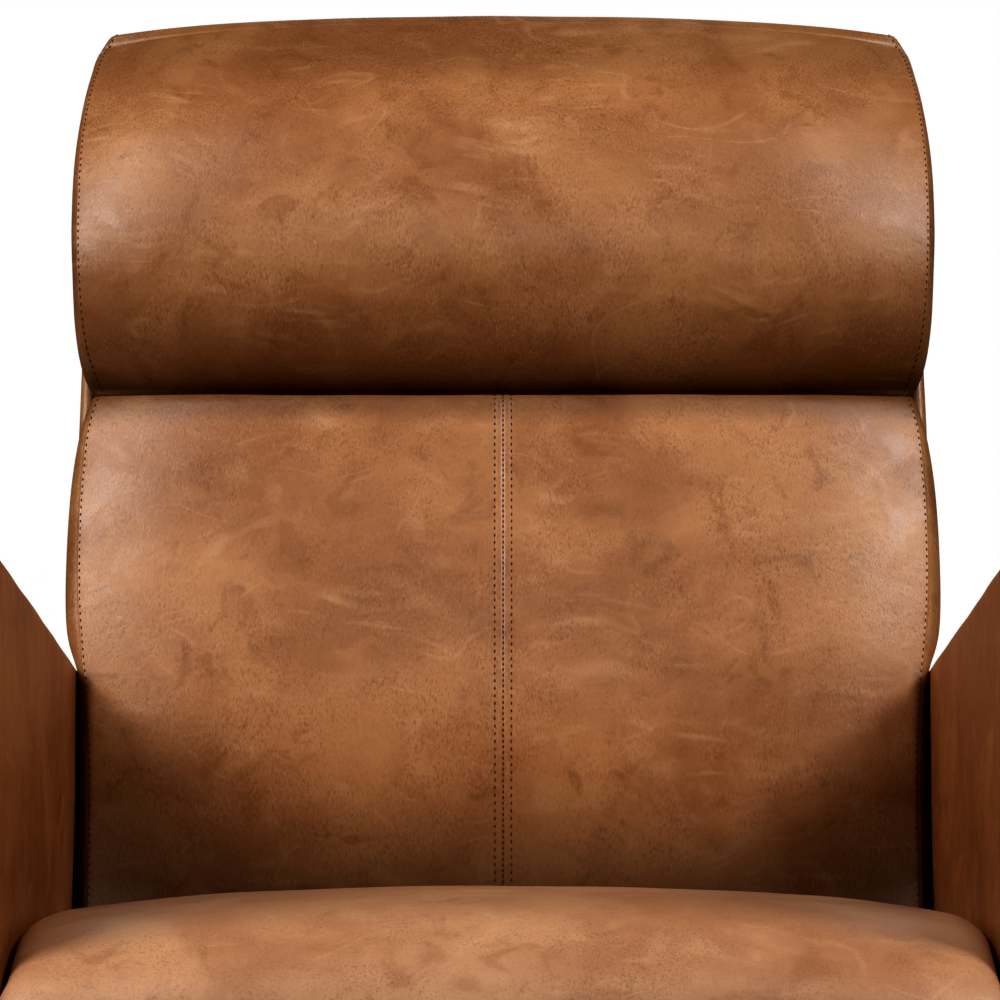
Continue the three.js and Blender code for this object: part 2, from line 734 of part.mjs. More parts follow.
// Arms: a boarded frame in a padded cover that is open underneath
function armFrontY(z) {
  const rise = (z - armBottom) / (armFrontTopZ - armBottom);
  return armFrontFootY + (armFrontTopY - armFrontFootY) * rise ** 2;
}

function armTopZ(y) {
  return armFrontTopZ - (y - armFrontTopY) * Math.tan(armSlope);
}

function armRearY(z) {
  const rise = (z - armBottom) / (armTopZ(armRearTopY) - armBottom);
  return armRearFootY + (armRearTopY - armRearFootY) * rise;
}

function armShape(inset, foot) {
  const frontRound = Math.max(armFrontCorner - inset, armFrontCorner / 4);
  const rearRound = Math.max(armRearCorner - inset, armRearCorner / 4);
  const frontZ = armFrontTopZ - inset - frontRound;
  const frontCornerY = armFrontTopY + inset;
  const topStartY = frontCornerY + frontRound;
  const topEndY = armRearTopY - inset - rearRound;
  const rearCornerZ = armTopZ(armRearTopY) - inset;
  const rearZ = rearCornerZ - rearRound;
  const shape = new THREE.Shape();
  shape.moveTo(armFrontFootY + inset, foot);
  shape.quadraticCurveTo(armFrontFootY + inset, (armBottom + frontZ) / 2, armFrontY(frontZ) + inset, frontZ);
  shape.quadraticCurveTo(frontCornerY, armTopZ(frontCornerY) - inset, topStartY, armTopZ(topStartY) - inset);
  shape.lineTo(topEndY, armTopZ(topEndY) - inset);
  shape.quadraticCurveTo(armRearTopY - inset, rearCornerZ, armRearY(rearZ) - inset, rearZ);
  shape.lineTo(armRearY(foot) - inset, foot);
  return shape;
}

const armOuter = armInner + armThickness;
const boardInner = armInner + armWall + fit;
const boardRim = armOuter - armWall - fit;

function armBoltHole(side, y, from, to) {
  return crossRod(armBoltRadius + fit, bySide(side, from, to), y, armBoltZ, 12);
}

function armCover(side) {
  const body = acrossX(armShape(0, armBottom), bySide(side, armInner, armOuter), armEdgeRound);
  const hollow = acrossX(armShape(armWall, armBottom - 1),
    bySide(side, armInner + armWall, armOuter - armWall));
  const holes = armBoltYs.map((y) => armBoltHole(side, y, armInner - 1, boardInner));
  return cut(body, hollow, ...holes);
}

function armFrame(side) {
  const inset = armWall + fit;
  const body = acrossX(armShape(inset, armBottom), bySide(side, boardInner, boardRim));
  const hollow = acrossX(armShape(inset + armTopBoard, armBottom - 1),
    bySide(side, boardInner + armBoard, boardRim + 1));
  const holes = armBoltYs.map((y) => armBoltHole(side, y, boardInner - 1, boardInner + armBoltGrip + fit));
  return cut(body, hollow, ...holes);
}

function armBolt(side, y) {
  const seat = sideRailInner - fit;
  const shank = crossRod(armBoltRadius, bySide(side, seat - 1, boardInner + armBoltGrip), y, armBoltZ, 12);
  const head = crossRod(armBoltHeadRadius, bySide(side, seat - armBoltHeadHeight, seat), y, armBoltZ, 6);
  return join(shank, head);
}

for (const [name, side] of sides) {
  addPiece(rockingSeat, `arm_frame_${name}`, 'wood', armFrame(side));
  addPiece(rockingSeat, `arm_cover_${name}`, 'leather', armCover(side));
  armBoltYs.forEach((y, i) => {
    addPiece(rockingSeat, `arm_bolt_${name}_${i + 1}`, 'zincSteel', armBolt(side, y));
  });
}

// Seat cushion: crowned across, rolled at the sides and over the nose, its rear following the back
function cushionFaceY(z) {
  const face = cushionCrown - easeGap;
  return backY + backHeight(z, face) * Math.sin(backTilt) + face * Math.cos(backTilt);
}

function seatOutline(drop, inset) {
  const front = seatFrontY + inset;
  return [
    [cushionFaceY(seatFootZ), seatFootZ],
    [front + seatNoseUnder, seatFootZ],
    [front + seatNoseTuck, (seatFootZ + seatNoseZ) / 2],
    [front, seatNoseZ],
    [front + seatNoseRoll, seatShoulderZ - drop - seatNoseRoll],
    [seatShoulderY, seatShoulderZ - drop],
    [seatCrestY, seatCrestZ - drop],
    [cushionFaceY(seatRearZ - drop), seatRearZ - drop],
  ];
}

function seatCushion() {
  const flat = seatHalfWidth - seatRoll;
  const stations = [];
  for (const part of [0.35, 0.7, 1]) {
    stations.push({ x: flat * part, drop: seatCrown * part ** 2, inset: 0 });
  }
  for (const turn of [30, 60, 90]) {
    const fall = seatRoll * (1 - Math.cos(turn * degree));
    stations.push({ x: flat + seatRoll * Math.sin(turn * degree), drop: seatCrown + fall, inset: fall });
  }
  const half = stations.map(({ x, drop, inset }) => ({ at: x, outline: seatOutline(drop, inset) }));
  const mirror = half.map(({ at, outline }) => ({ at: -at, outline })).reverse();
  return loft([...mirror, { at: 0, outline: seatOutline(0, 0) }, ...half], ([y, z], x) => [x, y, z]);
}

addPiece(rockingSeat, 'seat_cushion', 'leather', seatCushion());

// The back, drawn upright in its own frame (X across, Y through to the rear, Z up) and then leant back
back.position.set(0, backY, backZ);
back.rotation.x = -backTilt;

function backFrame() {
  const depth = [stileFront, stileRear];
  const upright = [stileFoot, stileTop];
  const stiles = sides.map(([, side]) => block(bySide(side, stileInner, stileOuter), depth, upright));
  const feet = [cushionFoot + bottomRailRise, cushionTop - middleRailDrop, stileTop - backRailHeight];
  const rails = feet.map((u) => block([-stileInner - 1, stileInner + 1], depth, [u, u + backRailHeight]));
  return join(...stiles, ...rails);
}

function bracketBlock(side, grow, u) {
  return block(bySide(side, bladeInner - grow, bladeOuter + grow),
    [bladeV - bladeHalfWidth - grow, bladeV + bladeHalfWidth + grow], u);
}

function sleeve(side) {
  const outer = bracketBlock(side, fit + sleeveWall, [sleeveFoot, sleeveTop]);
  return cut(outer, bracketBlock(side, fit, [sleeveFoot - 1, sleeveTop + 1]));
}

addPiece(back, 'back_frame', 'wood', backFrame());
for (const [name, side] of sides) {
  addPiece(back, `bracket_blade_${name}`, 'zincSteel', bracketBlock(side, 0, [bladeFoot, bladeTop]));
  addPiece(back, `bracket_sleeve_${name}`, 'zincSteel', sleeve(side));
}
strapHeights.forEach((height, i) => {
  const u = cushionFoot + height;
  const strap = block([-stileOuter, stileOuter], [strapV, strapV + strapThickness],
    [u - strapHalfHeight, u + strapHalfHeight]);
  addPiece(back, `back_strap_${i + 1}`, 'webbing', strap);
});

// Padded pieces of the back: outlines across the back at rising heights
function padOutline(half, front) {
  const edge = Math.min(front + padCrown, cushionRear - padSide);
  const crown = (share) => front + (edge - front) * share ** 2;
  const right = [
    [half * 0.45, crown(0.45)], [half * 0.8, crown(0.8)], [half - padEdgeInset, edge],
    [half, edge + padSide / 2], [half - padEdgeInset / 2, cushionRear],
  ];
  const left = right.map(([x, v]) => [-x, v]).reverse();
  return [[0, front], ...right, ...left];
}

function pad(levels) {
  const stations = levels.map(([u, half, front]) => ({ at: u, outline: padOutline(half, front) }));
  return loft(stations, ([x, v], u) => [x, v, u]);
}

// Height up the back, half width, and how far forward the middle of the face stands
const betweenArms = (share) => cushionFoot + share * (armTopU - 20 - cushionFoot);

const cushionLevels = [
  [cushionFoot, cushionLowHalf - 6, cushionCrown + 14],
  [betweenArms(0.25), cushionLowHalf - 2, cushionCrown + 6],
  [betweenArms(0.7), cushionLowHalf, cushionCrown],
  [betweenArms(1), cushionLowHalf, cushionCrown],
  [armTopU, cushionHighHalf - 3, cushionCrown],
  [armTopU + 24, cushionHighHalf, cushionCrown],
  [cushionTop - 62, cushionHighHalf, cushionCrown + 1],
  [cushionTop - 32, cushionHighHalf - 3, cushionCrown + 6],
  [cushionTop - 12, cushionHighHalf - 7, cushionCrown + 15],
  [cushionTop, cushionHighHalf - 14, cushionCrown + 27],
];

const pillowLevels = [
  [pillowFoot, pillowHalf - 21, pillowCrown + 46],
  [pillowFoot + 7, pillowHalf - 15, pillowCrown + 30],
  [pillowFoot + 26, pillowHalf - 8, pillowCrown + 14],
  [pillowFoot + 64, pillowHalf - 2, pillowCrown + 3],
  [pillowFoot + 114, pillowHalf, pillowCrown],
  [pillowTop - 112, pillowHalf, pillowCrown + 6],
  [pillowTop - 66, pillowHalf - 3, pillowCrown + 19],
  [pillowTop - 32, pillowHalf - 7, pillowCrown + 35],
  [pillowTop - 12, pillowHalf - 16, pillowCrown + 52],
  [pillowTop, pillowHalf - 31, pillowCrown + 68],
];

addPiece(back, 'back_cushion', 'leather', pad(cushionLevels));
addPiece(back, 'head_pillow', 'leather', pad(pillowLevels));

// The outside back: a padded shell round the frame, open towards the cushions and underneath
function shellOutline(half, belly) {
  const right = [
    [half, shellFront], [half, shellRear - shellCorner],
    [half - shellCorner * 0.3, shellRear - shellCorner * 0.3],
    [half - shellCorner, shellRear + belly * 0.35], [half * 0.45, shellRear + belly * 0.85],
  ];
  const left = right.map(([x, v]) => [-x, v]).reverse();
  return [...right, [0, shellRear + belly], ...left];
}

function backShell() {
  const levels = [
    [cushionFoot, shellLowHalf, shellFootBelly],
    [betweenArms(0.9), shellLowHalf, shellBelly * 0.7],
    [armTopU, shellLowHalf, shellBelly * 0.75],
    [armTopU + 20, shellHalfWidth, shellBelly * 0.8],
    [(armTopU + shellTop) / 2, shellHalfWidth, shellBelly],
    [shellTop - 40, shellHalfWidth - 1, shellBelly],
    [shellTop - 16, shellHalfWidth - 6, shellBelly * 0.75],
    [shellTop, shellHalfWidth - 18, 0],
  ];
  const outer = levels.map(([u, half, belly]) => ({ at: u, outline: shellOutline(half, belly) }));
  const hollow = [
    [cushionFoot - 1, shellLowHalf], [armTopU, shellLowHalf],
    [armTopU + 20, shellHalfWidth], [shellTop - shellWall, shellHalfWidth - 8],
  ].map(([u, half]) => {
    const [x, front, rear] = [half - shellWall, shellFront - 1, stileRear + fit];
    return { at: u, outline: [[x, front], [x, rear], [-x, rear], [-x, front]] };
  });
  const place = ([x, v], u) => [x, v, u];
  return cut(loft(outer, place), loft(hollow, place));
}

addPiece(back, 'back_shell', 'leather', backShell());

export default chair;
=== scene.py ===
# Swivel rocker in brown pull-up leather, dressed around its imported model. Metres, +Z up, the sitter faces -Y.
# The settings of the pieces are in millimetres, where they aren't multiplied by mm.
import math
from functools import partial

import bmesh
import bpy
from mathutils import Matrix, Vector, noise
from mathutils.kdtree import KDTree


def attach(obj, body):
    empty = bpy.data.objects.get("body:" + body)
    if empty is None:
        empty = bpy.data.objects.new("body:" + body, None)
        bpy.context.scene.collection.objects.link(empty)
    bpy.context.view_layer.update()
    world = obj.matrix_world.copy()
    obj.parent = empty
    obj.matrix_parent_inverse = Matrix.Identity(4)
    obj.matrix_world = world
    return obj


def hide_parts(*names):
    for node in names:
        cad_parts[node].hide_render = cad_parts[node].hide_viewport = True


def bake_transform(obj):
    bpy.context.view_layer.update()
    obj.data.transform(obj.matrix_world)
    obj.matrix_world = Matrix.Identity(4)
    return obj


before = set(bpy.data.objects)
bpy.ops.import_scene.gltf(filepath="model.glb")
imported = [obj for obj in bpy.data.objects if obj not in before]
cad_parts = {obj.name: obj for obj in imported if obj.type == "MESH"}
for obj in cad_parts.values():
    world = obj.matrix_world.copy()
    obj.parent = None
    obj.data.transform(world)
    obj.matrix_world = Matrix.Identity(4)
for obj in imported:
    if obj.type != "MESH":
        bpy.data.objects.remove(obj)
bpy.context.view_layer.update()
scene = bpy.context.scene
mm = 0.001


def linear(hexColour):
    channels = [int(hexColour[i:i + 2], 16) / 255 for i in (0, 2, 4)]
    return [c / 12.92 if c <= 0.04045 else ((c + 0.055) / 1.055) ** 2.4 for c in channels] + [1.0]


# A node stands for its first open output
def socketOf(source):
    return next(s for s in source.outputs if s.enabled) if isinstance(source, bpy.types.Node) else source


# Adds a node: its settings as words, its inputs in order or by name, as values or as what feeds them
def addNode(tree, kind, inputs=(), **settings):
    node = tree.nodes.new(kind if "Node" in kind else "ShaderNode" + kind)
    for name, value in settings.items():
        setattr(node, name, value)
    if not isinstance(inputs, dict):
        inputs = dict(zip([n for n, socket in enumerate(node.inputs) if socket.enabled], inputs))
    for name, value in inputs.items():
        value = socketOf(value)
        if isinstance(value, bpy.types.NodeSocket):
            tree.links.new(value, node.inputs[name])
        else:
            node.inputs[name].default_value = value
    return node


# Settings that many nodes share
smooth = {"interpolation_type": "SMOOTHSTEP"}
inColour = {"data_type": "RGBA"}
plus, minus, times, over, most, size = ({"operation": word} for word in (
    "ADD", "SUBTRACT", "MULTIPLY", "DIVIDE", "MAXIMUM", "ABSOLUTE"))


# A material, what adds a node to it, and what feeds its colour, roughness and relief (with strength and depth)
def newMaterial(name, **fixed):
    material = bpy.data.materials.new(name)
    material.use_nodes = True
    tree = material.node_tree
    shader = tree.nodes["Principled BSDF"]
    for socket, value in fixed.items():
        shader.inputs[socket.replace("_", " ")].default_value = value

    def feed(colour, rough=None, relief=None, strength=0.0, depth=0.0):
        if relief:
            relief = addNode(tree, "Bump", {"Strength": strength, "Distance": depth * mm, "Height": relief})
        for socket, source in (("Base Color", colour), ("Roughness", rough), ("Normal", relief)):
            if source:
                tree.links.new(socketOf(source), shader.inputs[socket])

    return material, partial(addNode, tree), feed


def objectPoint(add, stretch=(1, 1, 1), turn=(0, 0, 0)):
    place = add("TexCoord").outputs["Object"]
    return add("Mapping", {"Vector": place, "Rotation": turn, "Scale": stretch})


# Pull-up leather: waxed aniline hide, tumbled and stretched. The dye is softly cloudy, the wax lightens in soft
# streaks where the hide was pulled, and a fine directional grain breaks up its satin sheen.
leatherLook = {
    "mid": "b07c52", "deep": "845733", "pale": "c3986a", "streak": "d4ac88", "grain": "683d1e",
    # Next: the colour of the painted shade and how it is laid over the dye
    "crease": "1c0802", "creaseMode": "MIX", "cloud": 110 * mm, "mottle": 30 * mm,
    "drift": 130 * mm, "driftBy": 0.09,  # how the way the hide was pulled wanders
    "grainWidth": 1.3 * mm, "grainLength": 2.3,  # about the finest grain that shows from the camera
    "roughness": (0.34, 0.46),
}


def makeLeather(name, changes=None, creases=()):
    look = {**leatherLook, **(changes or {})}
    material, add, feed = newMaterial(name, IOR=1.5, Coat_Weight=0.08, Coat_Roughness=0.3)
    place = objectPoint(add)

    def noiseAt(width, detail, rough, distort=0.0, stretch=(1, 1, 1), turn=(0, 0, 0), vector=place):
        mapped = add("Mapping", {"Vector": vector, "Rotation": turn, "Scale": stretch})
        return add("TexNoise", {
            "Vector": mapped, "Scale": 1 / width, "Detail": detail, "Roughness": rough, "Distortion": distort})

    cloud = noiseAt(look["cloud"], 3, 0.55, 0.5)
    mottle = noiseAt(look["mottle"], 4, 0.62, 0.8)

    # Streaks: long soft flashes of lifted wax, and fine veins between them, on a space bent by the drift
    drift = add("TexNoise", {"Vector": place, "Scale": 1 / look["drift"], "Detail": 1.0}).outputs["Color"]
    moved = add("VectorMath", (add("VectorMath", (drift, (0.5,) * 3), **minus), look["driftBy"]), operation="SCALE")
    bent = add("VectorMath", (place, moved), **plus)
    flashes = []
    for length, thickness, low, high, turn in (
            (60 * mm, 17 * mm, 0.55, 0.85, (0.0, 0.3, 0.2)), (38 * mm, 9 * mm, 0.58, 0.88, (0.3, -0.6, 0.1)),
            (46 * mm, 7 * mm, 0.6, 0.9, (0.1, 1.0, 0.0))):
        across = thickness / length
        flash = noiseAt(thickness, 1.5, 0.45, 0.3, (across, across, 1), turn, bent)
        flashes.append(add("MapRange", (flash, low, high), **smooth))
    veins = []
    for apart, width, turn in ((62 * mm, 0.011, (0.2, 0.5, 0.0)), (75 * mm, 0.009, (0.0, -0.9, 0.3))):
        line = add("Math", (noiseAt(apart, 1.0, 0.4, 0.3, (0.4, 0.4, 1), turn, bent), 0.5), **minus)
        veins.append(add("MapRange", (add("Math", (line,), **size), width, 0.0), **smooth))
    streak = add("Math", (flashes[0], add("Math", flashes[1:], **most)), **most)
    vein = add("Math", (add("Math", veins, **most), 0.22), **times)
    patch = add("MapRange", (noiseAt(80 * mm, 2, 0.5), 0.4, 0.64, 0.12, 1.0), **smooth)
    veined = add("MapRange", (noiseAt(40 * mm, 2, 0.5, 0, (1, 1, 1), (0.5, 0.5, 0)), 0.5, 0.64), **smooth)
    streak = add("Math", (streak, add("Math", (patch, 0.43), **times)), **times)
    streak = add("Math", (streak, add("Math", (vein, veined), **times)), **most)

    # Grain: short flecks whose direction changes from patch to patch
    leanings = add("MapRange", (noiseAt(55 * mm, 1, 0.5), 0.44, 0.56), **smooth)
    fleck = add("Mix", (leanings, *(
        noiseAt(look["grainWidth"], 2, 0.6, 0.6, (1, 1, 1 / look["grainLength"]), turn)
        for turn in ((0, 0.8, 0.3), (0, -0.75, -0.2)))))
    amount = add("MapRange", (noiseAt(48 * mm, 2, 0.5), 0.32, 0.66, 0.35, 1.0), **smooth)

    # The dye and what lies over it, layer by layer: how much of it, its colour, its way of mixing
    layers = [
        (add("MapRange", (cloud, 0.34, 0.68), **smooth), "pale", "MIX"), (0.6, "mid", "MIX"),
        (add("MapRange", (mottle, 0.47, 0.28, 0.0, 0.44), **smooth), "deep", "MIX"),
        (add("MapRange", (mottle, 0.54, 0.74, 0.0, 0.34), **smooth), "pale", "MIX"), (streak, "streak", "MIX")]
    for low, high, share, tone in ((0.5, 0.3, 0.42, "grain"), (0.52, 0.72, 0.22, "streak")):
        shown = add("MapRange", (fleck, low, high), **smooth)
        layers.append((add("Math", (shown, add("Math", (amount, share), **times)), **times), tone, "MIX"))
    # Painted shade: darker towards a height, and some of it only beyond a distance from the middle
    axes = add("SeparateXYZ", (place,)).outputs
    for start, end, share, inner, outer in creases:
        dark = add("MapRange", (axes["Z"], start, end, 0.0, share), **smooth)
        if outer:
            beyond = add("MapRange", (add("Math", (axes["X"],), **size), inner, outer), **smooth)
            dark = add("Math", (dark, beyond), **times)
        layers.append((dark, "crease", look["creaseMode"]))
    colour = linear(look["deep"])
    for share, tone, mode in layers:
        colour = add("Mix", (share, colour, linear(look[tone])), blend_type=mode, **inColour)

    rough = add("MapRange", (mottle, 0.3, 0.7, *look["roughness"]), **smooth)
    rough = add("Math", (rough, add("Math", (streak, 0.1), **times)), **plus)
    fold = add("Math", (noiseAt(13 * mm, 3, 0.55, 1.0), 1.4), **times)
    feed(colour, rough, add("Math", (add("Math", (fleck, 0.8), **times), fold), **plus), 0.4, 0.4)
    return material


# A finish between two tones, from patterns of (size, detail, stretch): clouds for the tone, and others for the
# gloss and the relief where they differ. relief is its strength and depth.
def makeFinish(name, low, high, clouds, rough, gloss=None, grain=None, relief=None, **fixed):
    material, add, feed = newMaterial(name, **fixed)
    cloud, glossy, grained = (pattern and add("TexNoise", {
        "Vector": objectPoint(add, *pattern[2:]), "Scale": 1 / (pattern[0] * mm), "Detail": pattern[1]})
        for pattern in (clouds, gloss, grain))
    feed(add("Mix", (cloud, linear(low), linear(high)), **inColour),
         rough and add("MapRange", (glossy or cloud, 0.3, 0.7, *rough), **smooth),
         relief and (grained or cloud), *(relief or ()))
    return material


# Bonded polyester upholstery thread: tight two-ply twist with a dull shine
def makeThread():
    material, add, feed = newMaterial("bondedThread", Roughness=0.85, IOR=1.4)
    ply = add("TexWave", {"Vector": objectPoint(add, turn=(0.5, 0.4, 0.6)), "Scale": 1 / (0.9 * mm),
                          "Distortion": 0.5}).outputs["Fac"]
    feed(add("Mix", (ply, linear("46250f"), linear("633a1e")), **inColour))
    return material


# Sawn softwood rails: pale early wood, thin darker late wood, open sawn face
def makeWood():
    material, add, feed = newMaterial("sawnPine", IOR=1.45)
    rings = add("TexWave", {
        "Vector": objectPoint(add, (1.0, 0.12, 1.0), (0, 0.15, 0.05)), "Scale": 1 / (34 * mm), "Distortion": 5.0,
        "Detail": 3.0, "Detail Scale": 1.2}, bands_direction="Z", wave_profile="SAW").outputs["Fac"]
    fibre = add("TexNoise", {"Vector": objectPoint(add, (1, 0.03, 1)), "Scale": 1 / (1.4 * mm), "Detail": 3})
    late = add("MapRange", (rings, 0.55, 1.0), **smooth)
    pores = add("MapRange", (fibre, 0.45, 0.7, 0.0, 0.3), **smooth)
    colour = add("Mix", (late, linear("d8b27c"), linear("b07f49")), **inColour)
    feed(add("Mix", (pores, colour, linear("96693c")), **inColour),
         add("MapRange", (fibre, 0.3, 0.7, 0.6, 0.78), **smooth), fibre, 0.3, 0.3)
    return material


# Woven or felted cloth from crossed waves: threads of a given spacing, over and under each other
def makeCloth(name, spacing, low, high, turn=(0, 0, 0)):
    material, add, feed = newMaterial(name, IOR=1.45, Sheen_Weight=0.25)
    place = objectPoint(add, turn=turn)
    weave = add("Math", [
        add("TexWave", {"Vector": place, "Scale": 0.32 / spacing}, bands_direction=axis).outputs["Fac"]
        for axis in "XZ"], **most)
    fluff = add("TexNoise", {"Vector": place, "Scale": 1 / spacing, "Detail": 4})
    shown = add("Math", (weave, fluff), **times)
    feed(add("Mix", (shown, linear(low), linear(high)), **inColour),
         add("MapRange", (fluff, 0.3, 0.7, 0.8, 0.95), **smooth), weave, 0.5, 0.4)
    return material


print("materials")
# The seat's leather is painted a lighter tone and the pillow's a darker one than the back's, standing in for light and
# shade. Painted shade: the height (m) where the dark starts and where it is full, its share, and the distances from the
# middle where it starts and is full.
leather = makeLeather("pullUpLeather")
# Back cushion, with painted shade: towards the seat, towards the arms low down, in the slit beside the arms, and just
# under the pillow
leatherBack = makeLeather("pullUpLeatherBack", creases=(
    (0.578, 0.485, 0.5, 0, 0), (0.64, 0.54, 0.36, 0.13, 0.25), (0.636, 0.618, 0.75, 0.263, 0.271),
    (0.79, 0.808, 0.42, 0, 0)))
# Pillow: a darker tone as painted shade, and painted shade under its lower roll and along its top edge
leatherPillow = makeLeather("pullUpLeatherPillow", {"mid": "a9774e", "pale": "bb9166"},
                            creases=((0.84, 0.806, 0.75, 0, 0), (1.012, 1.05, 0.24, 0, 0)))
leatherSeat = makeLeather("pullUpLeatherSeat", {"mid": "bf9170", "deep": "9a7050", "pale": "ceab88"},
                          creases=((0.474, 0.494, 0.27, 0, 0),))  # painted shade: a little darker on top
# Painted shade: the arms are darker on their inner faces, at every height
leatherArms = makeLeather("pullUpLeatherArms", {"crease": "ddc7b1", "creaseMode": "MULTIPLY"},
                          creases=((2.0, 1.9, 1, 0.345, 0.305),))
thread = makeThread()
# Black powder coat on steel: baked polyester, a fine orange peel that breaks up the highlights
powderCoat = makeFinish("blackPowderCoat", "48484b", "5e5e62", (60, 4), (0.36, 0.5), grain=(1.6, 2),
                        relief=(0.25, 0.15), Metallic=0.0, IOR=1.5)
# Zinc plate, clear passivated: cloudy silver with faint yellow and blue drifts and fine drawing lines
zinc = makeFinish("zincPlate", "a9aeb2", "cfcdbf", (14, 4), (0.26, 0.44), gloss=(2.5, 3, (1, 1, 12)), Metallic=1.0)
# Oil-tempered spring wire: blue-black oxide over drawn steel, with brown oil film
springSteel = makeFinish("temperedSpringWire", "2b2d33", "574c43", (22, 4), (0.3, 0.48), Metallic=1.0)
pine = makeWood()
# Ribbed floor strip: black rubber, moulded matt, greyed where it rubs
rubber = makeFinish("mouldedRubber", "3a3a3c", "525255", (9, 5), (0.7, 0.9), relief=(0.3, 0.2), IOR=1.52)
# Natural polyamide: ivory, slightly see-through at the edges, moulded satin
nylon = makeFinish("naturalNylon", "ddd8c6", "eeebdf", (12, 3), (0.4, 0.55), IOR=1.53, Subsurface_Weight=0.1,
                   Subsurface_Scale=2 * mm)
webbing = makeCloth("polypropyleneWebbing", 2.2 * mm, "161618", "3a3a3e")
liner = makeCloth("spunbondLiner", 1.6 * mm, "141416", "2a2a2d", (math.radians(90), 0, 0))


# Camera at the photograph's view
view = {"place": (-0.002, -3.295, 0.546), "rise": math.radians(3.228), "lens": 191.5, "sensor": 36.0}
camera = bpy.data.objects.new("camera", bpy.data.cameras.new("camera"))
scene.collection.objects.link(camera)
camera.location = view["place"]
camera.rotation_euler = (math.pi / 2 + view["rise"], 0, 0)
camera.data.lens, camera.data.sensor_width, camera.data.clip_end = view["lens"], view["sensor"], 100
scene.camera = camera

# Soft studio light: boxes high on both sides and in front, three behind, and a white room
studio = {
    "aim": (0, 0.05, 0.75),
    "boxes": [
        # name, place, size, power, aim if it isn't the common one
        ("leftHigh", (-1.34, -1.12, 3.55), (1.0, 1.0), 23), ("rightHigh", (1.34, -1.12, 3.55), (1.0, 1.0), 21),
        ("leftKey", (-2.19, -1.53, 2.69), (1.0, 1.0), 60), ("rightKey", (2.19, -1.53, 2.69), (1.0, 1.0), 66),
        ("leftStrip", (-2.91, -1.06, 1.88), (0.5, 1.5), 20), ("frontBox", (0, -2.86, 2.5), (1.0, 0.6), 12),
        ("rearBox", (0, 3.4, 2.2), (2.5, 1.5), 26, (0, 1.2, 0.4)),
        ("leftRear", (-1.9, 3.3, 1.2), (1.2, 1.6), 34, (0, 0.15, 0.6)),
        ("rightRear", (1.9, 3.3, 1.2), (1.2, 1.6), 34, (0, 0.15, 0.6)),
    ],
    "fill": 0.02, "floor": 30.0, "floorGlow": 0.76, "gamma": 0.66, "black": 0.01,
}


def addLights():
    for name, place, extent, power, *aim in studio["boxes"]:
        data = bpy.data.lights.new(name, "AREA")
        data.shape = "RECTANGLE"
        data.size, data.size_y = extent
        data.energy = power
        lamp = bpy.data.objects.new(name, data)
        lamp.location = place
        lamp.visible_glossy = "Rear" not in name  # the lamps behind leave no bright rim
        facing = Vector(aim[0] if aim else studio["aim"]) - Vector(place)
        lamp.rotation_euler = facing.to_track_quat("-Z", "Y").to_euler()
        scene.collection.objects.link(lamp)
    scene.world = bpy.data.worlds.new("whiteRoom")
    scene.world.use_nodes = True
    tree = scene.world.node_tree
    tree.nodes.clear()
    # Rays from the camera see white, all others a dim fill
    strength = addNode(tree, "MapRange", {
        "Value": addNode(tree, "LightPath").outputs["Is Camera Ray"], "To Min": studio["fill"], "To Max": 1.0})
    sky = addNode(tree, "Background", {"Color": (1, 1, 1, 1), "Strength": strength})
    addNode(tree, "OutputWorld", {"Surface": sky})
    look = scene.view_settings
    look.view_transform, look.gamma, look.exposure, look.use_curve_mapping = "Standard", studio["gamma"], 0.0, True
    look.curve_mapping.black_level = (studio["black"],) * 3
    look.curve_mapping.update()


def makeObject(name, verts, faces, material):
    mesh = bpy.data.meshes.new(name)
    mesh.from_pydata([tuple(v) for v in verts], [], faces)
    mesh.materials.append(material)
    mesh.polygons.foreach_set("use_smooth", [True] * len(mesh.polygons))
    obj = bpy.data.objects.new(name, mesh)
    scene.collection.objects.link(obj)
    return obj


def addFloor():
    half = studio["floor"]
    paint, add, feed = newMaterial("paintedFloor", Roughness=0.7, Emission_Color=(1, 1, 1, 1),
                                   Emission_Strength=studio["floorGlow"])  # keeps it pale far from the lamps
    patch = add("TexNoise", {"Vector": objectPoint(add), "Scale": 2.0, "Detail": 3})
    feed(add("Mix", (patch, linear("e9e8e5"), linear("efeeeb")), **inColour))
    floor = makeObject("floor", [(-half, -half, 0), (half, -half, 0), (half, half, 0), (-half, half, 0)],
                       [(0, 1, 2, 3)], paint)
    floor.visible_diffuse = floor.visible_glossy = False  # so that it throws no light up under the chair


addLights()
addFloor()


# The back's own frame: x across, u up the back, v through it to the rear
lean = {"y": 0.1, "z": 0.495, "tilt": math.radians(17)}


def leanBack(x, u, v):
    sine, cosine = math.sin(lean["tilt"]), math.cos(lean["tilt"])
    return Vector((x * mm, lean["y"] + (u * sine + v * cosine) * mm, lean["z"] + (u * cosine - v * sine) * mm))


# A closed skin over a box of rows: place(a, b, c) puts each corner of its surface, with a across, b up, c back
def boxSkin(name, across, up, back, place, material, leftOut=()):
    index, verts, faces = {}, [], []
    ends = (len(across) - 1, len(up) - 1, len(back) - 1)
    sides = {  # which axis is fixed, at which end, and the two axes that run over the side
        "front": (2, 0, 0, 1), "rear": (2, 1, 1, 0), "right": (0, 1, 2, 1),
        "left": (0, 0, 1, 2), "top": (1, 1, 0, 2), "bottom": (1, 0, 2, 0)}
    for side, (fixed, end, first, second) in sides.items():
        if side in leftOut:
            continue
        for i in range(ends[first]):
            for j in range(ends[second]):
                face = []
                for di, dj in ((0, 0), (1, 0), (1, 1), (0, 1)):
                    key = [ends[fixed] * end] * 3
                    key[first], key[second] = i + di, j + dj
                    key = tuple(key)
                    if key not in index:
                        index[key] = len(verts)
                        verts.append(place(across[key[0]], up[key[1]], back[key[2]]))
                    face.append(index[key])
                faces.append(face)
    return makeObject(name, verts, faces, material), index


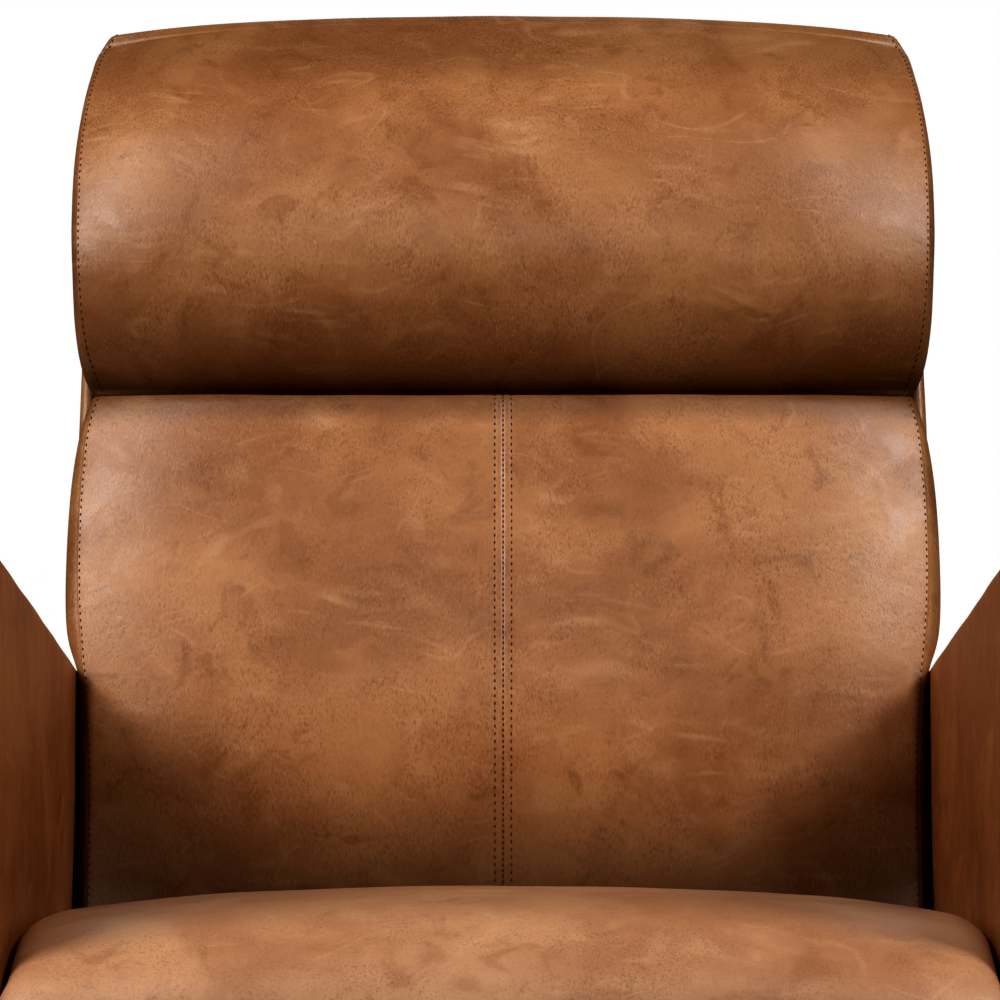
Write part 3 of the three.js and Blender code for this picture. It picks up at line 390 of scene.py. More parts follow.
# Places from 0 to total: close rows near each end, even steps of about step between them
def rows(total, step, atStart=(0,), atEnd=(0,)):
    first, last = atStart[-1], total - atEnd[-1]
    count = max(1, round((last - first) / step))
    even = [first + (last - first) * i / count for i in range(count + 1)]
    return [*atStart[:-1], *even, *[total - d for d in reversed(atEnd[:-1])]]


# The same places on both sides of the middle
def bothSides(places):
    return [-x for x in reversed(places[1:])] + places


def closestTo(wanted, places):
    return min(range(len(places)), key=lambda n: abs(places[n] - wanted))


# A smooth line through points at rising places
def smoothLine(points):
    places = [p[0] for p in points]
    values = [p[1:] for p in points]

    def at(t):
        if t <= places[0]:
            return values[0]
        if t >= places[-1]:
            return values[-1]
        k = max(i for i in range(len(places) - 1) if places[i] <= t)
        span = places[k + 1] - places[k]
        s = (t - places[k]) / span
        result = []
        for c in range(len(values[0])):
            slopes = []
            for m in (k, k + 1):
                before, after = max(m - 1, 0), min(m + 1, len(places) - 1)
                slopes.append((values[after][c] - values[before][c]) / (places[after] - places[before]) * span)
            a, b = values[k][c], values[k + 1][c]
            result.append(a * (2 * s ** 3 - 3 * s ** 2 + 1) + slopes[0] * (s ** 3 - 2 * s ** 2 + s)
                          + b * (3 * s ** 2 - 2 * s ** 3) + slopes[1] * (s ** 3 - s ** 2))
        return result

    return at


def evaluated(obj):
    return obj.evaluated_get(bpy.context.evaluated_depsgraph_get())


def nearTree(points):
    tree = KDTree(len(points))
    for i, point in enumerate(points):
        tree.insert(point, i)
    tree.balance()
    return tree


# Swells a padded piece: cloth under pressure on a remeshed copy, its movement carried back to the piece's own mesh
puffing = {
    "voxel": 6 * mm, "frames": 20, "hold": 9 * mm, "release": 30 * mm, "blendOver": 5, "cap": 9 * mm,
    "cloth": {"quality": 5, "mass": 0.4, "tension_stiffness": 25, "compression_stiffness": 25, "shear_stiffness": 12,
              "bending_stiffness": 1.5, "use_pressure": True, "uniform_pressure_force": 4.0,
              "vertex_group_mass": "held"},
}


def puff(obj, held):
    copy = obj.copy()
    copy.data = obj.data.copy()
    scene.collection.objects.link(copy)
    remesh = copy.modifiers.new("remesh", "REMESH")
    remesh.mode = "VOXEL"
    remesh.voxel_size = puffing["voxel"]
    even = bpy.data.meshes.new_from_object(evaluated(copy))
    copy.modifiers.clear()
    copy.data = even
    rest = [v.co.copy() for v in even.vertices]
    pins = nearTree(held)
    group = copy.vertex_groups.new(name="held")
    for v in even.vertices:
        distance = pins.find(v.co)[2]
        weight = 1 - min(1, max(0, distance - puffing["hold"]) / (puffing["release"] - puffing["hold"]))
        group.add([v.index], weight, "REPLACE")
    cloth = copy.modifiers.new("cloth", "CLOTH")
    for name, value in puffing["cloth"].items():
        setattr(cloth.settings, name, value)
    cloth.settings.effector_weights.gravity = 0
    cloth.collision_settings.use_collision = False
    for step in range(1, puffing["frames"] + 1):
        scene.frame_set(step)
    swollen = evaluated(copy).to_mesh()
    moves = [swollen.vertices[i].co - rest[i] for i in range(len(rest))]
    tree = nearTree(rest)
    biggest = 0.0
    for v in obj.data.vertices:
        total, weights = Vector(), 0.0
        for _, i, distance in tree.find_n(v.co, puffing["blendOver"]):
            weight = 1 / (distance + mm)
            total += moves[i] * weight
            weights += weight
        move = total / weights
        if move.length > puffing["cap"]:
            move *= puffing["cap"] / move.length
        biggest = max(biggest, move.length)
        v.co += move
    print(f"{obj.name} swelled by up to {biggest / mm:.1f} mm on {len(rest)} points")
    scene.frame_set(1)
    bpy.data.objects.remove(copy)


# Presses seams and gentle dents into a skin along its normals: seams(i, j, k) is the depth at a corner, dents are
# how high and how wide. With side, only the rows at that depth are pressed.
def press(obj, index, seams, dents, side=None):
    obj.data.update()
    normals = [v.normal.copy() for v in obj.data.vertices]
    for key, i in index.items():
        if side in (None, key[2]):
            v = obj.data.vertices[i]
            v.co += normals[i] * (seams(*key) + noise.noise(v.co / dents[1]) * dents[0]) * mm


# How a topstitched seam stands out at distance d from its line: a groove, a raised fold, the sunk stitches
def seamProfile(d, stitchAt, groove=1.3, fold=0.6, sink=0.5):
    return (-groove * math.exp(-(d / 0.9) ** 2) + fold * math.exp(-((d - stitchAt * 0.48) / 1.5) ** 2)
            - sink * math.exp(-((d - stitchAt) / 0.9) ** 2))


# Draws a value in from the ends of its range
def drawIn(value, low, high, atLow, atHigh):
    return low + atLow + (value - low) * (high - low - atLow - atHigh) / (high - low)


# Gives an open skin its wall: an inner skin on the same corners, joined to the outer one round the open rim
def addWall(obj, index, rowsOf, inner):
    mesh = bmesh.new()
    mesh.from_mesh(obj.data)
    mesh.verts.ensure_lookup_table()
    rim = [edge for edge in mesh.edges if edge.is_boundary]
    skin, outer = list(mesh.faces), list(mesh.verts)
    twin = {}
    for key, i in index.items():
        twin[outer[i]] = mesh.verts.new(inner(*(places[n] for places, n in zip(rowsOf, key))))
    for face in skin:
        mesh.faces.new([twin[v] for v in reversed(face.verts)]).smooth = True
    for a, b in [edge.verts for edge in rim]:
        mesh.faces.new((a, b, twin[b], twin[a])).smooth = True
    bmesh.ops.recalc_face_normals(mesh, faces=mesh.faces)
    mesh.to_mesh(obj.data)
    mesh.free()


# The object's mesh as its modifiers leave it
def freeze(obj):
    material = obj.data.materials[0] if obj.data.materials else None
    made = bpy.data.meshes.new_from_object(evaluated(obj))
    obj.modifiers.clear()
    old = obj.data
    obj.data = made
    made.name = obj.name
    bpy.data.meshes.remove(old)
    if material and not made.materials:
        made.materials.append(material)
    made.polygons.foreach_set("use_smooth", [True] * len(made.polygons))


def dress(obj, body, slotName, *nodes):
    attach(obj, body)
    if nodes:
        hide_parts(*nodes)


# Geometry Nodes: a tree with named inputs, what adds a node to it, and what its inputs give
def newTree(name, **inputs):
    tree = bpy.data.node_groups.new(name, "GeometryNodeTree")
    for way, sockets in (("INPUT", {"Geometry": "Geometry", **inputs}), ("OUTPUT", {"Geometry": "Geometry"})):
        for socket, kind in sockets.items():
            tree.interface.new_socket(socket, in_out=way, socket_type="NodeSocket" + kind)
    add = partial(addNode, tree)
    return tree, add, add("NodeGroupInput").outputs


def endTree(add, geometry, material):
    real = add("GeometryNodeRealizeInstances", {"Geometry": geometry})
    add("NodeGroupOutput", {"Geometry": add("GeometryNodeSetMaterial", {"Geometry": real, "Material": material})})


# Runs a tree on an object and leaves a plain mesh. Of the values, those named like inputs are used.
def runTree(tree, obj, values):
    modifier = obj.modifiers.new("nodes", "NODES")
    modifier.node_group = tree
    for item in tree.interface.items_tree:
        if item.in_out == "INPUT" and item.name in values:
            modifier[item.identifier] = values[item.name]
    made = bpy.data.meshes.new_from_object(evaluated(obj))
    result = bpy.data.objects.new(obj.name + "Made", made)
    scene.collection.objects.link(result)
    name = obj.name
    bpy.data.objects.remove(obj)
    result.name = made.name = name
    return result


def pathObject(name, paths, cyclic=False):
    curve = bpy.data.curves.new(name, "CURVE")
    curve.dimensions = "3D"
    for path in paths:
        spline = curve.splines.new("POLY")
        spline.points.add(len(path) - 1)
        for point, place in zip(spline.points, path):
            point.co = (*place, 1)
        spline.use_cyclic_u = cyclic
    obj = bpy.data.objects.new(name, curve)
    scene.collection.objects.link(obj)
    return obj


# Stitches along paths, laid on a skin, each sunk at its ends
def stitchTree():
    tree, add, given = newTree("stitches", Skin="Object", Pitch="Float", Length="Float", Thickness="Float",
                               Sink="Float", Thread="Material")
    points = add("GeometryNodeCurveToPoints", {"Curve": given["Geometry"], "Length": given["Pitch"]}, mode="LENGTH")
    skin = add("GeometryNodeObjectInfo", {"Object": given["Skin"]}, transform_space="ORIGINAL").outputs["Geometry"]
    nearest = add("GeometryNodeProximity", {"Geometry": skin}, target_element="FACES")
    normal = add("GeometryNodeSampleNearestSurface", {
        "Mesh": skin, "Value": add("GeometryNodeInputNormal")}, data_type="FLOAT_VECTOR")
    sunk = add("VectorMath", (normal, given["Sink"]), operation="SCALE")
    placed = add("GeometryNodeSetPosition", {"Geometry": points, "Position": nearest, "Offset": sunk})
    turn = add("FunctionNodeAxesToRotation", (normal, points.outputs["Tangent"]), primary_axis="Z", secondary_axis="X")
    grain = add("GeometryNodeMeshUVSphere", {"Segments": 6, "Rings": 4, "Radius": 0.5})
    extent = add("CombineXYZ", (given["Length"], given["Thickness"], given["Thickness"]))
    stitch = add("GeometryNodeTransform", {"Geometry": grain, "Scale": extent})
    sewn = add("GeometryNodeInstanceOnPoints", {"Points": placed, "Instance": stitch, "Rotation": turn})
    endTree(add, sewn, given["Thread"])
    return tree


stitches = stitchTree()
stitchSize = {"Pitch": 4.9 * mm, "Length": 2.5 * mm, "Thickness": 1.0 * mm, "Sink": 0.05 * mm}
longStitch = {"Pitch": 4.2 * mm, "Length": 3.1 * mm}
shortStitch = {"Pitch": 3.6 * mm, "Length": 2.7 * mm}


# Finishes a cover: smoothed, on the chair, and sewn. Each seam has a name, the lines of corners that it runs
# over, and how its stitches differ.
def finishCover(obj, index, node, fill, *seams):
    lines = [(name, [[obj.data.vertices[index[key]].co.copy() for key in line] for line in keys], changes)
             for name, keys, changes in seams]
    modifier = obj.modifiers.new("smooth", "SUBSURF")
    modifier.levels = modifier.render_levels = 1
    freeze(obj)
    dress(obj, "chair", "leather", node)
    for name, paths, changes in lines:
        sewn = runTree(stitches, pathObject(obj.name + name, paths),
                       {**stitchSize, **changes, "Skin": obj, "Thread": thread})
        dress(sewn, "chair", "leather")


print("back cushion and head pillow")
sheetEdge = (0, 0.6, 1.2, 1.9, 2.8, 4.2, 6.5, 10)  # rows beside a seam
sheetMiddle = (0, 0.7, 1.5, 3, 4.5, 5.5, 6.5, 8.5, 11)  # rows beside the centre seam
bandEdge = (0, 3, 6, 8, 9, 10, 11, 12, 14)  # rows at the pillow's upper band
padSeam = (0.7, 0.3, 0.3)  # groove, fold and sink of a seam along a pad's side

# Levels: height up the back, half width at the side seam and outside it, how far the face stands back
padShape = {"rear": 42.9, "crown": 29, "bend": 4, "side": 14, "start": 4, "stitch": 1.9, "middle": 0, "band": 0}
backCushion = {
    "levels": [
        (-129.5, 261, 268, 28), (-80, 265, 272, 28), (-40, 267, 273.5, 28), (-10, 267.5, 274, 28),
        (10, 267.6, 274, 18.5), (30, 267.8, 274.2, 9.5), (50, 268, 274.5, 2), (70, 268.3, 274.8, -3.5),
        (105, 269.5, 275.5, -9.5), (132, 271.5, 276.3, -11.8), (146, 273.6, 277, -12.5), (168, 276, 284, -13),
        (190, 278, 286.5, -13), (225, 279, 287, -12.5), (260, 278.8, 286, -11.5), (285, 277.5, 284, -11),
        (305, 276, 281, -10), (318, 273.5, 278, -9), (327, 271, 275, -7), (332, 269.5, 273, -3)],
    "bow": 0, "rise": (0, 9), "fill": 0.75, "middle": 5.5, "dents": (0.9, 0.07),
}
headPillow = {
    "levels": [
        (333.6, 265, 270, 12), (335.5, 267, 272, 6), (339, 269.5, 274.5, -1.5), (344, 272, 277, -9),
        (350.5, 274.5, 279.5, -17.5), (361, 277.5, 282, -28), (380, 280, 284.5, -41), (397, 281, 285.6, -47.5),
        (414, 282, 286.4, -51.5), (448, 283, 288, -54), (500, 282.5, 287.6, -47), (546, 279.5, 283.4, -30),
        (575, 275.5, 279.2, -14), (592, 272, 276, -3), (606, 265, 268.5, 12)],
    "bow": 8.5, "rise": (9, 0), "fill": 0.85, "band": 9, "dents": (1.0, 0.07),
}


# A pad on the leaning back: its front sheet bends back towards the edges, its side bands bulge past the seams
def makePad(name, changes, node, cover):
    pad = {**padShape, **changes}
    at = smoothLine(pad["levels"])
    bottom, top = pad["levels"][0][0], pad["levels"][-1][0]
    width = max(level[1] for level in pad["levels"])
    across = bothSides(rows(width, 8, sheetMiddle if pad["middle"] else (0,), sheetEdge))
    up = [bottom + d for d in rows(top - bottom, 8, sheetEdge, bandEdge if pad["band"] else sheetEdge)]
    through = [0, 0.06, 0.16, 0.3, 0.5, 0.7, 0.88, 1]

    def place(x, u, c):
        a = x / width
        seam, half, front = at(u)
        edge = min(front + pad["crown"], pad["rear"] - pad["side"])
        face = front + (edge - front) * abs(a) ** pad["bend"] + pad["start"] * (1 - a * a)
        v = face + (pad["rear"] - face) * c
        x = a * (seam + (half - 4 - seam) * c)
        if abs(a) == 1:
            x += math.copysign((half - (seam + half - 4) / 2) * math.sin(math.pi * c) ** 0.7, a)
        share = (u - bottom) / (top - bottom)
        u += pad["bow"] * (1 - a * a) * share ** 3
        u += (pad["rise"][0] * (1 - share) ** 3 + pad["rise"][1] * share ** 3) * abs(a) ** pad["bend"]
        return leanBack(x, u, v)

    obj, index = boxSkin(name, across, up, through, place, cover)
    last, high = len(across) - 1, len(up) - 1
    puff(obj, [obj.data.vertices[n].co.copy() for (i, j, k), n in index.items()
               if k > 0 or i in (0, last) or j in (0, high)])

    def seams(i, j, k):
        x = abs(across[i])
        depth = seamProfile(width - x, pad["stitch"], *padSeam)
        if pad["middle"]:
            depth += seamProfile(x, pad["middle"], 0.6, 0.15, 0.4)
        if pad["band"]:
            depth += seamProfile(abs(top - up[j] - pad["band"]), 3, 1.3, 0.4, 0)
        return depth

    press(obj, index, seams, pad["dents"], 0)

    def linesAt(*places):
        return [[(closestTo(x, across), j, 0) for j in range(high + 1)] for x in places]

    edges = (pad["stitch"] - width, width - pad["stitch"])
    if pad["middle"]:  # the seam itself is sewn with shorter, closer stitches
        finishCover(obj, index, node, pad["fill"],
                    ("Stitches", linesAt(*edges, -pad["middle"], pad["middle"]), {}),
                    ("MiddleStitches", linesAt(0), shortStitch))
    else:
        finishCover(obj, index, node, pad["fill"], ("Stitches", linesAt(*edges), {}))


makePad("backCushion", backCushion, "back_cushion", leatherBack)
makePad("headPillow", headPillow, "head_pillow", leatherPillow)


print("seat cushion")
seatCushion = {
    # Top sheet from under the nose, over the crest, to the back: y, z
    "profile": [
        (-381, 341), (-391, 358), (-399, 385), (-400, 412), (-392, 439), (-373, 461.5), (-342, 479), (-300, 491),
        (-225, 497), (-145, 497.5), (-60, 496), (20, 492.5), (98, 487)],
    "foot": (-366, 35), "footZ": 334.6,
    "flat": 255, "roll": 21, "seamTurn": math.radians(62), "crown": 16, "half": 275.5, "footHalf": 262,
    "nose": 0.03, "noseFrom": -355,  # how much wider it is where it stands out before the arms
    "start": 4, "stitch": 1.9, "dents": (1.2, 0.08), "fill": 0.8,
}


def lengthsAlong(points):
    total = [0.0]
    for p, q in zip(points, points[1:]):
        total.append(total[-1] + math.dist(p, q))
    return total


# A line of points with its length; gives the place and the outward side at a distance along it
def pathOf(points):
    total = lengthsAlong(points)
    line = smoothLine([(t, *p) for t, p in zip(total, points)])

    def at(distance):
        before, after = line(max(0, distance - 0.5)), line(min(total[-1], distance + 0.5))
        dy, dz = after[0] - before[0], after[1] - before[1]
        length = math.hypot(dy, dz) or 1
        return line(distance), (-dz / length, dy / length)

    return total[-1], at


def makeSeatCushion():
    seat = seatCushion
    length, at = pathOf(seat["profile"])
    width = seat["flat"] + seat["roll"] * seat["seamTurn"]
    across = bothSides(rows(width, 8, (0,), sheetEdge))
    along = rows(length, 8)
    through = [0, 0.05, 0.12, 0.25, 0.42, 0.6, 0.78, 0.92, 1]

    def place(w, s, c):
        (y, z), (outY, outZ) = at(s)
        turn = max(0, abs(w) - seat["flat"]) / seat["roll"]
        x = math.copysign(min(abs(w), seat["flat"]) + seat["roll"] * math.sin(turn), w)
        share = 0.35 + 0.65 * min(1, s / 190)  # the nose is crowned less than the top
        sink = seat["crown"] * share * min(1, abs(w) / seat["flat"]) ** 2 + seat["roll"] * (1 - math.cos(turn))
        sink += seat["start"] * (1 - (w / width) ** 2)
        y, z = y - outY * sink, z - outZ * sink
        footY = seat["foot"][0] + (seat["foot"][1] - seat["foot"][0]) * s / length
        footX = x * seat["footHalf"] / (seat["flat"] + seat["roll"])
        middle = (x + footX) / 2
        x, y, z = x + (footX - x) * c, y + (footY - y) * c, z + (seat["footZ"] - z) * c
        if abs(w) == width:
            x += (math.copysign(seat["half"], w) - middle) * math.sin(math.pi * c) ** 0.8
        x *= 1 + seat["nose"] * min(1, max(0, (seat["noseFrom"] - y) / 25))
        return Vector((x * mm, y * mm, z * mm))

    obj, index = boxSkin("seatCushion", across, along, through, place, leatherSeat)
    last = len(across) - 1
    puff(obj, [obj.data.vertices[n].co.copy() for (i, j, k), n in index.items() if k > 0 or i in (0, last)])
    press(obj, index, lambda i, j, k: seamProfile(width - abs(across[i]), seat["stitch"], *padSeam), seat["dents"], 0)
    lines = [[(closestTo(x, across), j, 0) for j in range(len(along))]
             for x in (seat["stitch"] - width, width - seat["stitch"])]
    finishCover(obj, index, "seat_cushion", seat["fill"], ("Stitches", lines, {}))


makeSeatCushion()


print("arms")
arms = {
    "inner": 277.5, "thick": 92, "bottom": 150, "frontTop": (-388, 682.5), "frontFoot": -340, "rearTop": 240,
    "rearFoot": 195, "slope": math.tan(math.radians(5.2)), "frontCorner": 26, "rearCorner": 45,
    "edge": 1.2, "edgeReach": 2.5,  # how much the edges are rounded off, and over what distance
    "innerCrown": 1.0, "outerCrown": 3.5, "bandCrown": 0.4, "stitch": 5, "wall": 6, "dents": (0.8, 0.09),
    "fill": 0.9,
}
boardEdge = (0, 1, 2.5, 4.5, 8)  # rows beside the edge of a covered board
armRows = (0, 1, 2.2, 3.6, 5, 6.4, 9, 13)  # rows beside the topstitched edge of an arm


def bend(first, middle, last, steps=24):
    return [tuple(a * (1 - t) ** 2 + 2 * b * t * (1 - t) + c * t * t for a, b, c in zip(first, middle, last))
            for t in [n / steps for n in range(steps + 1)]]


# Distance line through many close points, without smoothing
def ruler(points):
    total = lengthsAlong(points)

    def at(distance):
        d = min(max(distance, 0), total[-1] - 1e-6)
        k = max(i for i in range(len(total) - 1) if total[i] <= d)
        s = (d - total[k]) / (total[k + 1] - total[k])
        return tuple(a + (b - a) * s for a, b in zip(points[k], points[k + 1]))

    return total[-1], at


# Where the front of the arms stands at a height
def armFront(z):
    foot, (top, high) = arms["frontFoot"], arms["frontTop"]
    return foot + (top - foot) * ((z - arms["bottom"]) / (high - arms["bottom"])) ** 2


def armEdge():
    a = arms
    frontY, frontZ = a["frontTop"]

    def topZ(y):
        return frontZ - (y - frontY) * a["slope"]

    highZ = frontZ - a["frontCorner"]
    startY = frontY + a["frontCorner"]
    endY = a["rearTop"] - a["rearCorner"]
    lowZ = topZ(a["rearTop"]) - a["rearCorner"]
    rise = (lowZ - a["bottom"]) / (topZ(a["rearTop"]) - a["bottom"])
    rearY = a["rearFoot"] + (a["rearTop"] - a["rearFoot"]) * rise
    corner = (armFront(highZ), highZ)
    front = bend((a["frontFoot"], a["bottom"]), (a["frontFoot"], (a["bottom"] + highZ) / 2), corner, 60)
    nose = bend(corner, (frontY, frontZ), (startY, topZ(startY)))
    tail = bend((endY, topZ(endY)), (a["rearTop"], topZ(a["rearTop"])), (rearY, lowZ))
    half = len(nose) // 2
    return (front + nose[1:half + 1], nose[half:] + tail[:half + 1],
            [(a["rearFoot"], a["bottom"]), *reversed(tail[half:])])


def makeArm(name, side):
    a = arms
    (tall, front), (long, top), (rearTall, rear) = [ruler(points) for points in armEdge()]
    corners = (front(0), front(tall), rear(0), rear(rearTall))
    across = rows(a["thick"], 11, boardEdge, boardEdge)
    up = [d / tall for d in rows(tall, 13, (0,), armRows)]
    back = [d / long for d in rows(long, 13, armRows, armRows)]
    shift = a["inner"] if side > 0 else -a["inner"] - a["thick"]

    # The arm's side between its front, top, rear and foot lines
    def patch(s, t):
        f, r, u = front(t * tall), rear(t * rearTall), top(s * long)
        low = tuple(p + (q - p) * s for p, q in zip(corners[0], corners[2]))
        return tuple(
            (1 - s) * f[n] + s * r[n] + (1 - t) * low[n] + t * u[n]
            - (1 - s) * (1 - t) * corners[0][n] - (1 - s) * t * corners[1][n]
            - s * (1 - t) * corners[2][n] - s * t * corners[3][n] for n in (0, 1))

    def outwards(s, t):
        if s == 0 and t < 1:
            p, q = front(t * tall - 1), front(t * tall + 1)
        elif s == 1 and t < 1:
            p, q = rear(t * rearTall + 1), rear(t * rearTall - 1)
        else:
            p = top(s * long - 1) if s > 0 else front(tall - 2)
            q = top(s * long + 1) if s < 1 else rear(rearTall - 2)
        length = math.dist(p, q)
        return -(q[1] - p[1]) / length, (q[0] - p[0]) / length

    def edgeDistance(s, t):
        return min(s * long, (1 - s) * long, (1 - t) * tall)

    def place(d, t, s):
        y, z = patch(s, t)
        x = d + shift
        if d in (0, a["thick"]):
            onInside = (d == 0) == (side > 0)
            crown = a["innerCrown"] if onInside else a["outerCrown"]
            bulge = crown * (16 * s * (1 - s) * min(t + 0.15, 1) * (1 - t)) ** 0.5
            bulge -= a["edge"] * math.exp(-edgeDistance(s, t) / a["edgeReach"])
            x += bulge if d else -bulge
        if s in (0, 1) or t == 1:
            outY, outZ = outwards(s, t)
            out = a["bandCrown"] * math.sin(math.pi * d / a["thick"]) ** 0.8
            out -= a["edge"] * math.exp(-min(d, a["thick"] - d) / a["edgeReach"])
            y, z = y + outY * out, z + outZ * out
        return Vector((x * mm, y * mm, z * mm))

    def inside(d, t, s):
        y, z = patch(s, t)
        wall = a["wall"]
        x = drawIn(d, 0, a["thick"], wall, wall) + shift
        y = drawIn(y, a["frontTop"][0], a["rearTop"], wall, wall)
        return Vector((x * mm, y * mm, drawIn(z, a["bottom"], a["frontTop"][1], 0, wall) * mm))

    obj, index = boxSkin(name, across, up, back, place, leatherArms, leftOut=("bottom",))
    addWall(obj, index, (across, up, back), inside)
    outside = len(across) - 1 if side > 0 else 0  # only the outer edge is topstitched
    press(obj, index, lambda i, j, k: seamProfile(
        edgeDistance(back[k], up[j]), a["stitch"], 1.0, 0.5, 0.5) if i == outside else 0, a["dents"])
    row = closestTo(a["stitch"], [(1 - t) * tall for t in up])
    column = closestTo(a["stitch"], [s * long for s in back])
    far = len(back) - 1 - column
    line = [(outside, j, column) for j in range(row)] + [(outside, row, k) for k in range(column, far)]
    line += [(outside, j, far) for j in range(row, -1, -1)]
    finishCover(obj, index, "arm_cover_" + ("right" if side > 0 else "left"), a["fill"],
                ("Stitches", [line], longStitch))


makeArm("armRight", 1)
makeArm("armLeft", -1)


print("outside back and panels")
outsideBack = {
    # Height up the back, half width, belly, how far the rear is drawn in
    "levels": [
        (-129.5, 275.5, 10, 0), (0, 276, 18, 0), (146, 276, 21, 0), (166, 277, 22.5, 0), (182, 281.5, 24, 0),
        (384, 282, 30, 0), (563, 281, 28, 0), (587, 277, 22, 1), (597, 271, 12, 4), (602.5, 262, 2, 10)],
    "front": 45.3, "rear": 112.3, "corner": 28, "wall": 10, "stitch": 5, "dents": (1.2, 0.09), "fill": 0.5,
}


def makeOutsideBack():
    shell = outsideBack
    at = smoothLine(shell["levels"])
    bottom, top = shell["levels"][0][0], shell["levels"][-1][0]
    corner = shell["corner"]
    turn = corner * math.pi / 4
    flat = shell["rear"] - corner - shell["front"]
    inside = max(level[1] for level in shell["levels"]) - corner
    width = inside + turn
    across = bothSides(rows(width, 11, (0,), sheetEdge))
    up = [bottom + d for d in rows(top - bottom, 11, (0,), sheetEdge)]
    back = rows(flat + turn, 9, (0,), (0, 1.5, 4))

    def section(w, u, c):
        half, belly, drawn = at(u)
        if c < back[-1] and abs(w) == width:
            angle = max(0, c - flat) / corner
            x = half - corner * (1 - math.cos(angle))
            v = shell["front"] + min(c, flat) + corner * math.sin(angle)
            v -= drawn * (c / back[-1]) ** 2
        else:
            angle = math.pi / 2 - max(0, abs(w) - inside) / corner
            x = min(abs(w), inside) * (half - corner) / inside + corner * math.cos(angle)
            v = shell["rear"] - corner * (1 - math.sin(angle)) - drawn
            v += belly * (1 - min(1, abs(w) / inside) ** 2.2)
            v = shell["front"] + (v - shell["front"]) * c / back[-1]
        return math.copysign(x, w), half, v

    def place(w, u, c):
        x, _, v = section(w, u, c)
        return leanBack(x, u, v)

    def lining(w, u, c):
        x, half, v = section(w, u, c)
        wall = shell["wall"]
        return leanBack(drawIn(x, -half, half, wall, wall), drawIn(u, bottom, top, 0, wall),
                        drawIn(v, shell["front"], shell["rear"], 0, wall))

    obj, index = boxSkin("outsideBack", across, up, back, place, leather, leftOut=("front", "bottom"))
    addWall(obj, index, (across, up, back), lining)
    last, deep = len(across) - 1, len(back) - 1
    press(obj, index, lambda i, j, k: seamProfile(
        min(width - abs(across[i]), top - up[j]), shell["stitch"]) if k == deep else 0, shell["dents"])
    row = closestTo(top - shell["stitch"], up)
    column = closestTo(shell["stitch"] - width, across)
    line = [(column, j, deep) for j in range(row)] + [(i, row, deep) for i in range(column, last - column)]
    line += [(last - column, j, deep) for j in range(row, -1, -1)]
    finishCover(obj, index, "back_shell", shell["fill"], ("Stitches", [line], longStitch))


makeOutsideBack()

panels = {
    "half": 277, "low": 165.2, "edge": 3.0, "reach": 4.0, "crown": 2.5, "hem": 14, "dents": (0.8, 0.07),
    "hemRows": (0, 1, 2.5, 4.5, 8, 10.5, 12, 13, 14, 15, 16, 18),
    "front": {"high": 333.9, "inner": -317.4}, "rear": {"high": 334.9, "inner": 180.4, "outer": 192},
}


# A leather-covered board between the arms, its outer face slightly padded, with a stitched hem
def makePanel(name, node, facing):
    p = panels
    half, low = p["half"], p["low"]
    which = p["front"] if facing < 0 else p["rear"]
    high, inner = which["high"], which["inner"]
    across = [x - half for x in rows(2 * half, 12, boardEdge, boardEdge)]
    up = [low + d for d in rows(high - low, 12, p["hemRows"], boardEdge)]
    up[-1] = high
    back = [0, 0.2, 0.5, 0.8, 1]

    def place(x, z, c):
        out = 1 - c if facing < 0 else c
        distance = min(half - abs(x), z - low, high - z)
        swell = p["crown"] * (1 - (x / half) ** 4) * math.sin(math.pi * (z - low) / (high - low)) ** 0.6
        y = which["outer"] if facing > 0 else armFront(z) + 10
        y += facing * (swell - p["edge"] * math.exp(-distance / p["reach"])) * out
        y = inner + (y - inner) * out
        squeeze = p["edge"] * 0.6 * max(0, out * 2 - 1) ** 2
        if abs(x) == half:
            x -= math.copysign(squeeze, x)
        if z in (low, high):
            z += squeeze if z == low else -squeeze
        return Vector((x * mm, y * mm, z * mm))

    obj, index = boxSkin(name, across, up, back, place, leather)
    shown = 0 if facing < 0 else len(back) - 1
    # The hem's groove alone, without a fold or sunk stitches
    press(obj, index, lambda i, j, k: seamProfile(abs(up[j] - low - p["hem"]), 99, 0.8, 0, 0), p["dents"], shown)
    line = [(i, closestTo(low + p["hem"], up), shown) for i in range(1, len(across) - 1)]
    finishCover(obj, index, node, None, ("Stitches", [line], longStitch))


makePanel("frontPanel", "front_panel", -1)
makePanel("rearPanel", "rear_panel", 1)


print("base")
baseSize = {
    "ringRadius": 262, "tube": 13, "ringZ": 19.3, "stripHalf": 10, "stripTop": 9.0, "ribs": 3, "ribDepth": 1.2,
    "spokeHalf": 18, "spokeDepth": 14, "hubRadius": 30, "hubTop": 112, "hubFoot": 46, "plateRadius": 60,
    "plate": 6, "bore": 8.3, "bevel": 1.5, "edge": 1.6 * mm,
}


def turned(x, y, angle):
    return x * math.cos(angle) - y * math.sin(angle), x * math.sin(angle) + y * math.cos(angle)


def pointOutwards(obj):
    bm = bmesh.new()
    bm.from_mesh(obj.data)
    bmesh.ops.remove_doubles(bm, verts=bm.verts, dist=0.001 * mm)
    bmesh.ops.recalc_face_normals(bm, faces=bm.faces)
    bm.to_mesh(obj.data)
    bm.free()


